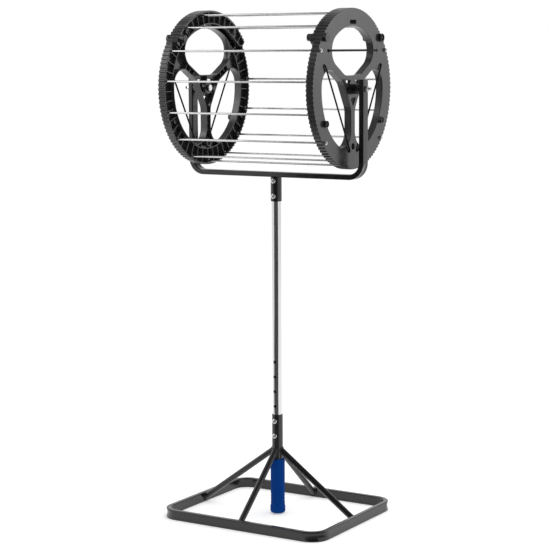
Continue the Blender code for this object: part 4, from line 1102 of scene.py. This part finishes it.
def build_ties():
    """The bolts that tie the two discs, with threads at their far ends, and their nuts."""
    seat = DISC_FACE + SEAT_GAP
    point, taper = TIE_POINT
    for number in range(1, 5):
        node = f"tie_bolt_{number}"
        low, high, middle, head = measure(node)
        end = high.x
        shape = bmesh.new()
        place = (-seat, middle.y, middle.z)
        length = seat + end - TIE_SHANK_END
        add_socket_screw(shape, place, (-1, 0, 0), head, -seat - low.x, TIE_SHANK, length)
        profile = [(AXIS_RADIUS, end - TIE_THREAD - TIE_THREAD_RUN_IN)]
        profile += thread_profile(TIE_SHANK, end - TIE_THREAD, end - taper)
        profile += [(point, end), (ROD_AXIS_RADIUS, end)]
        add_turned(shape, profile, (0, middle.y, middle.z), (1, 0, 0), TIE_SIDES)
        finish_mesh(f"tie_rod_{number}", shape, "steel_wire", "drum", node)
        nut = f"tie_nut_{number}"
        low, high, _, radius = measure(nut)
        shape = bmesh.new()
        add_hex_nut(shape, (low.x, middle.y, middle.z), (1, 0, 0), radius, high.x - low.x, TIE_BORE)
        finish_mesh(f"tie_cap_nut_{number}", shape, "zinc", "drum", nut)


def build_wires():
    for prefix, count, body in (("cage_wire", 7, "drum"), ("hatch_wire", HATCH_WIRES, "hatch")):
        for number in range(1, count + 1):
            node = f"{prefix}_{number}"
            low, high, middle, radius = measure(node)
            length = high.x - low.x
            rod = [(ROD_AXIS_RADIUS, 0), (radius, 0), (radius, length), (ROD_AXIS_RADIUS, length)]
            profile = rounded(rod, EDGE_ROUND)
            place = (low.x, middle.y, middle.z)
            build_turned(f"{node}_rod", node, profile, place, (1, 0, 0), "steel_wire", body, ROD_SIDES)


def tube_section(thickness, depth, dip):
    """(outward, across) points of a rectangular tube, whose outward wall sinks by dip at its middle."""
    half_out = thickness / 2
    flat = depth / 2 - TUBE_CORNER
    points = []
    for turn, (side_out, side_across) in enumerate(QUARTERS):
        centre = (side_out * (half_out - TUBE_CORNER), side_across * flat)
        for n in range(CORNER_STEPS + 1):
            angle = (turn + n / CORNER_STEPS) * pi / 2
            points.append((centre[0] + TUBE_CORNER * cos(angle), centre[1] + TUBE_CORNER * sin(angle)))
    for n in range(1, WALL_STEPS):
        across = -flat + 2 * flat * n / WALL_STEPS
        points.append((half_out - dip * cos(across / flat * pi / 2), across))
    return points


def bend_stations(centre, radius, start, end):
    """Stations (place, outward direction, pinch share) round one bend, in its own plane."""
    stations = []
    for n in range(BEND_STEPS + 1):
        share = n / BEND_STEPS
        angle = start + (end - start) * share
        outward = (cos(angle), sin(angle))
        place = (centre[0] + radius * outward[0], centre[1] + radius * outward[1])
        stations.append((place, outward, sin(pi * share)))
    return stations


def build_tube(name, node, body, stations, size, to_world, closed=False):
    """A rectangular tube. to_world takes two places in the plane of its stations and one across."""
    loops = []
    for (first, second), (way_one, way_two), share in stations:
        section = tube_section(*size, PINCH * share)
        loops.append([to_world(first + out * way_one, second + out * way_two, w) for out, w in section])
    shape = bmesh.new()
    add_loft(shape, loops, closed)
    finish_mesh(name, shape, "dark_tube", body, node)


def build_fork():
    low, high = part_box("fork")
    arm_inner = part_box("hub_bush_right")[1].x + WIDE_GAP
    thickness = high.x - arm_inner
    half_span = arm_inner + thickness / 2
    bend_x = half_span - FORK_BEND
    bend_z = low.z + thickness / 2 + FORK_BEND
    left = bend_stations((-bend_x, bend_z), FORK_BEND, pi, pi * 1.5)
    right = bend_stations((bend_x, bend_z), FORK_BEND, pi * 1.5, tau)
    stations = [((-half_span, high.z), (-1, 0), 0)] + left + right + [((half_span, high.z), (1, 0), 0)]
    size = (thickness, high.y - low.y)
    build_tube("fork_tube", "fork", "mast", stations, size, lambda x, z, y: (x, y, z))


def build_base():
    low, high, middle, _ = measure("base_ring")
    thickness = high.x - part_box("strut_right")[1].x - SEAT_GAP
    half_x = (high.x - low.x - thickness) / 2 - BASE_BEND
    half_y = (high.y - low.y - thickness) / 2 - BASE_BEND
    stations = []
    for turn, (side_x, side_y) in enumerate(QUARTERS):
        start = turn * pi / 2
        stations += bend_stations((side_x * half_x, side_y * half_y), BASE_BEND, start, start + pi / 2)
    size = (thickness, high.z - low.z)

    def to_world(x, y, up):
        return x, y, middle.z + up

    build_tube("base_tube", "base_ring", "stand", stations, size, to_world, closed=True)


def strut_points(way, reach, radius, sides):
    """A strut's loops of points where it meets the stand's tube and the base's inner side."""
    start = Vector((0, 0, STRUT_TOP))
    along = (way * reach + Vector((0, 0, STRUT_FOOT)) - start).normalized()
    across = Vector((0, 0, 1)).cross(way)
    normal = along.cross(across)
    upper = []
    lower = []
    for n in range(sides):
        angle = tau * n / sides
        point = start + radius * (across * cos(angle) + normal * sin(angle))
        on_post = sqrt((SLEEVE_RADIUS + STRUT_GAP) ** 2 - point.dot(across) ** 2)
        upper.append(point + along * (on_post - point.dot(way)) / along.dot(way))
        lower.append(point + along * (reach - point.dot(way)) / along.dot(way))
    return upper, lower


def build_bead(name, path):
    """A weld bead along a closed path, with the ripples of its passes."""
    count = len(path)
    loops = []
    for n, point in enumerate(path):
        onward = (path[(n + 1) % count] - path[n - 1]).normalized()
        side = onward.cross(WELD_UPRIGHT).normalized()
        up = side.cross(onward)
        radius = WELD_RADIUS + WELD_RIPPLE * abs(sin(pi * WELD_RIPPLES * n / count))
        angles = [tau * k / WELD_SIDES for k in range(WELD_SIDES)]
        loops.append([point + radius * (side * cos(a) + up * sin(a)) for a in angles])
    shape = bmesh.new()
    add_loft(shape, loops, closed=True)
    finish_mesh(name, shape, "weld", "stand")


def build_struts():
    for word, way in STRUT_WAYS.items():
        node = f"strut_{word}"
        way = Vector(way)
        reach = max(abs(corner.dot(way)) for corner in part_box(node))
        shape = bmesh.new()
        add_loft(shape, strut_points(way, reach, STRUT_RADIUS, STRUT_SIDES))
        finish_mesh(f"{node}_tube", shape, "dark_tube", "stand", node)
        upper, lower = strut_points(way, reach, STRUT_RADIUS + WELD_SPREAD, WELD_POINTS)
        lifted = [point + Vector((point.x, point.y, 0)).normalized() * WELD_LIFT for point in upper]
        build_bead(f"{node}_weld_top", lifted)
        build_bead(f"{node}_weld_foot", [point - way * WELD_FOOT_INSET for point in lower])


def build_grip():
    low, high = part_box("grip")
    butt = (high.x - low.x) / 2
    bore = SLEEVE_RADIUS + SEAT_GAP
    bottom = low.z + GRIP_FLOOR

    def radius(height):
        share = (high.z - height) / (high.z - GRIP_BUTT_TOP)
        return GRIP_TOP + (GRIP_WAIST - GRIP_TOP) * share

    profile = [(AXIS_RADIUS, low.z), (butt - GRIP_ROUND, low.z)]
    for n in range(1, GRIP_STEPS + 1):
        angle = n / GRIP_STEPS * pi / 2
        inset = GRIP_ROUND * (1 - sin(angle))
        profile.append((butt - inset, low.z + GRIP_ROUND * (1 - cos(angle))))
    slope = [(butt, GRIP_BUTT_SIDE), (butt, GRIP_BUTT_TOP - GRIP_SLOPE), (GRIP_WAIST, GRIP_BUTT_TOP)]
    profile += rounded(slope + [(radius(GRIP_SLOPE_END), GRIP_SLOPE_END)], GRIP_SLOPE_ROUND)[1:]
    for height in GRIP_GROOVES:
        for n in range(GRIP_STEPS + 1):
            t = n / GRIP_STEPS
            depth = GRIP_GROOVE_DEPTH * (0.5 - 0.5 * cos(tau * t))
            place = height + (t - 0.5) * GRIP_GROOVE_WIDTH
            profile.append((radius(place) - depth, place))
    sleeve = [(radius(GRIP_SLEEVE_START), GRIP_SLEEVE_START), (GRIP_TOP, high.z)]
    profile += rounded(sleeve + [(bore, high.z), (bore, bottom)], GRIP_LIP_ROUND)
    profile.append((AXIS_RADIUS, bottom))
    build_turned("grip_sleeve", "grip", profile, (0, 0, 0), (0, 0, 1), "blue_rubber", "stand", TUBE_SIDES)


def build_pole():
    """The pole's tube, with the holes for its screws."""
    low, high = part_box("pole")
    radius = high.x
    bore = radius - POLE_WALL
    profile = [(bore, low.z), (radius, low.z), (radius, high.z), (bore, high.z)]
    shape = bmesh.new()
    add_turned(shape, profile, (0, 0, 0), (0, 0, 1), TUBE_SIDES, hollow=True)
    lowest = measure("stand_screw_lower")[2].z
    heights = [lowest + n * POLE_HOLE_PITCH for n in range(POLE_HOLES)]
    heights += [measure(f"socket_screw_{level}")[2].z for level in ("upper", "lower")]
    holes = bmesh.new()
    size = {"radius1": POLE_HOLE_RADIUS, "radius2": POLE_HOLE_RADIUS, "depth": POLE_HOLE_DEPTH}
    for height in heights:
        matrix = axis_matrix((0, 0, height), (0, 1, 0))
        bmesh.ops.create_cone(holes, cap_ends=True, segments=HOLE_SIDES, matrix=matrix, **size)
    finish_mesh("pole_tube", shape, "polished_tube", "mast", "pole", cut=holes)


def dress_nodes():
    """Gives each CAD node that still shows a better material."""
    nodes = {
        "dark_tube": ("stand_tube", "fork_socket"),
        "black_plastic": ("hub_bush_left", "hub_bush_right", "arm_cap_left", "arm_cap_right"),
        "black_wire": [f"guard_rod_{word}_{n}" for word in ("left", "right") for n in (1, 2, 3)],
    }
    for finish, names in nodes.items():
        for name in names:
            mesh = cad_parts[name].data
            mesh.materials.clear()
            mesh.materials.append(FINISHES[finish])


def main():
    bpy.context.scene.view_settings.view_transform = "Standard"
    make_camera()
    make_world()
    make_floor()
    for name, light in LIGHTS.items():
        make_area_light(name, *light)
    make_dark_card()
    for make, table in ((moulded_plastic, PLASTICS), (powder_coat, PAINTS), (drawn_metal, METALS)):
        for name, look in table.items():
            make(name, *look)
    grip_rubber()
    weld_metal()
    for word, side in (("left", -1), ("right", 1)):
        build_end_disc(word, side)
        build_hatch_arc(word, side)
        build_knobs(word, side)
        build_axle(word, side)
    build_ties()
    build_wires()
    build_screws()
    build_fork()
    build_base()
    build_struts()
    build_grip()
    build_pole()
    dress_nodes()


main()
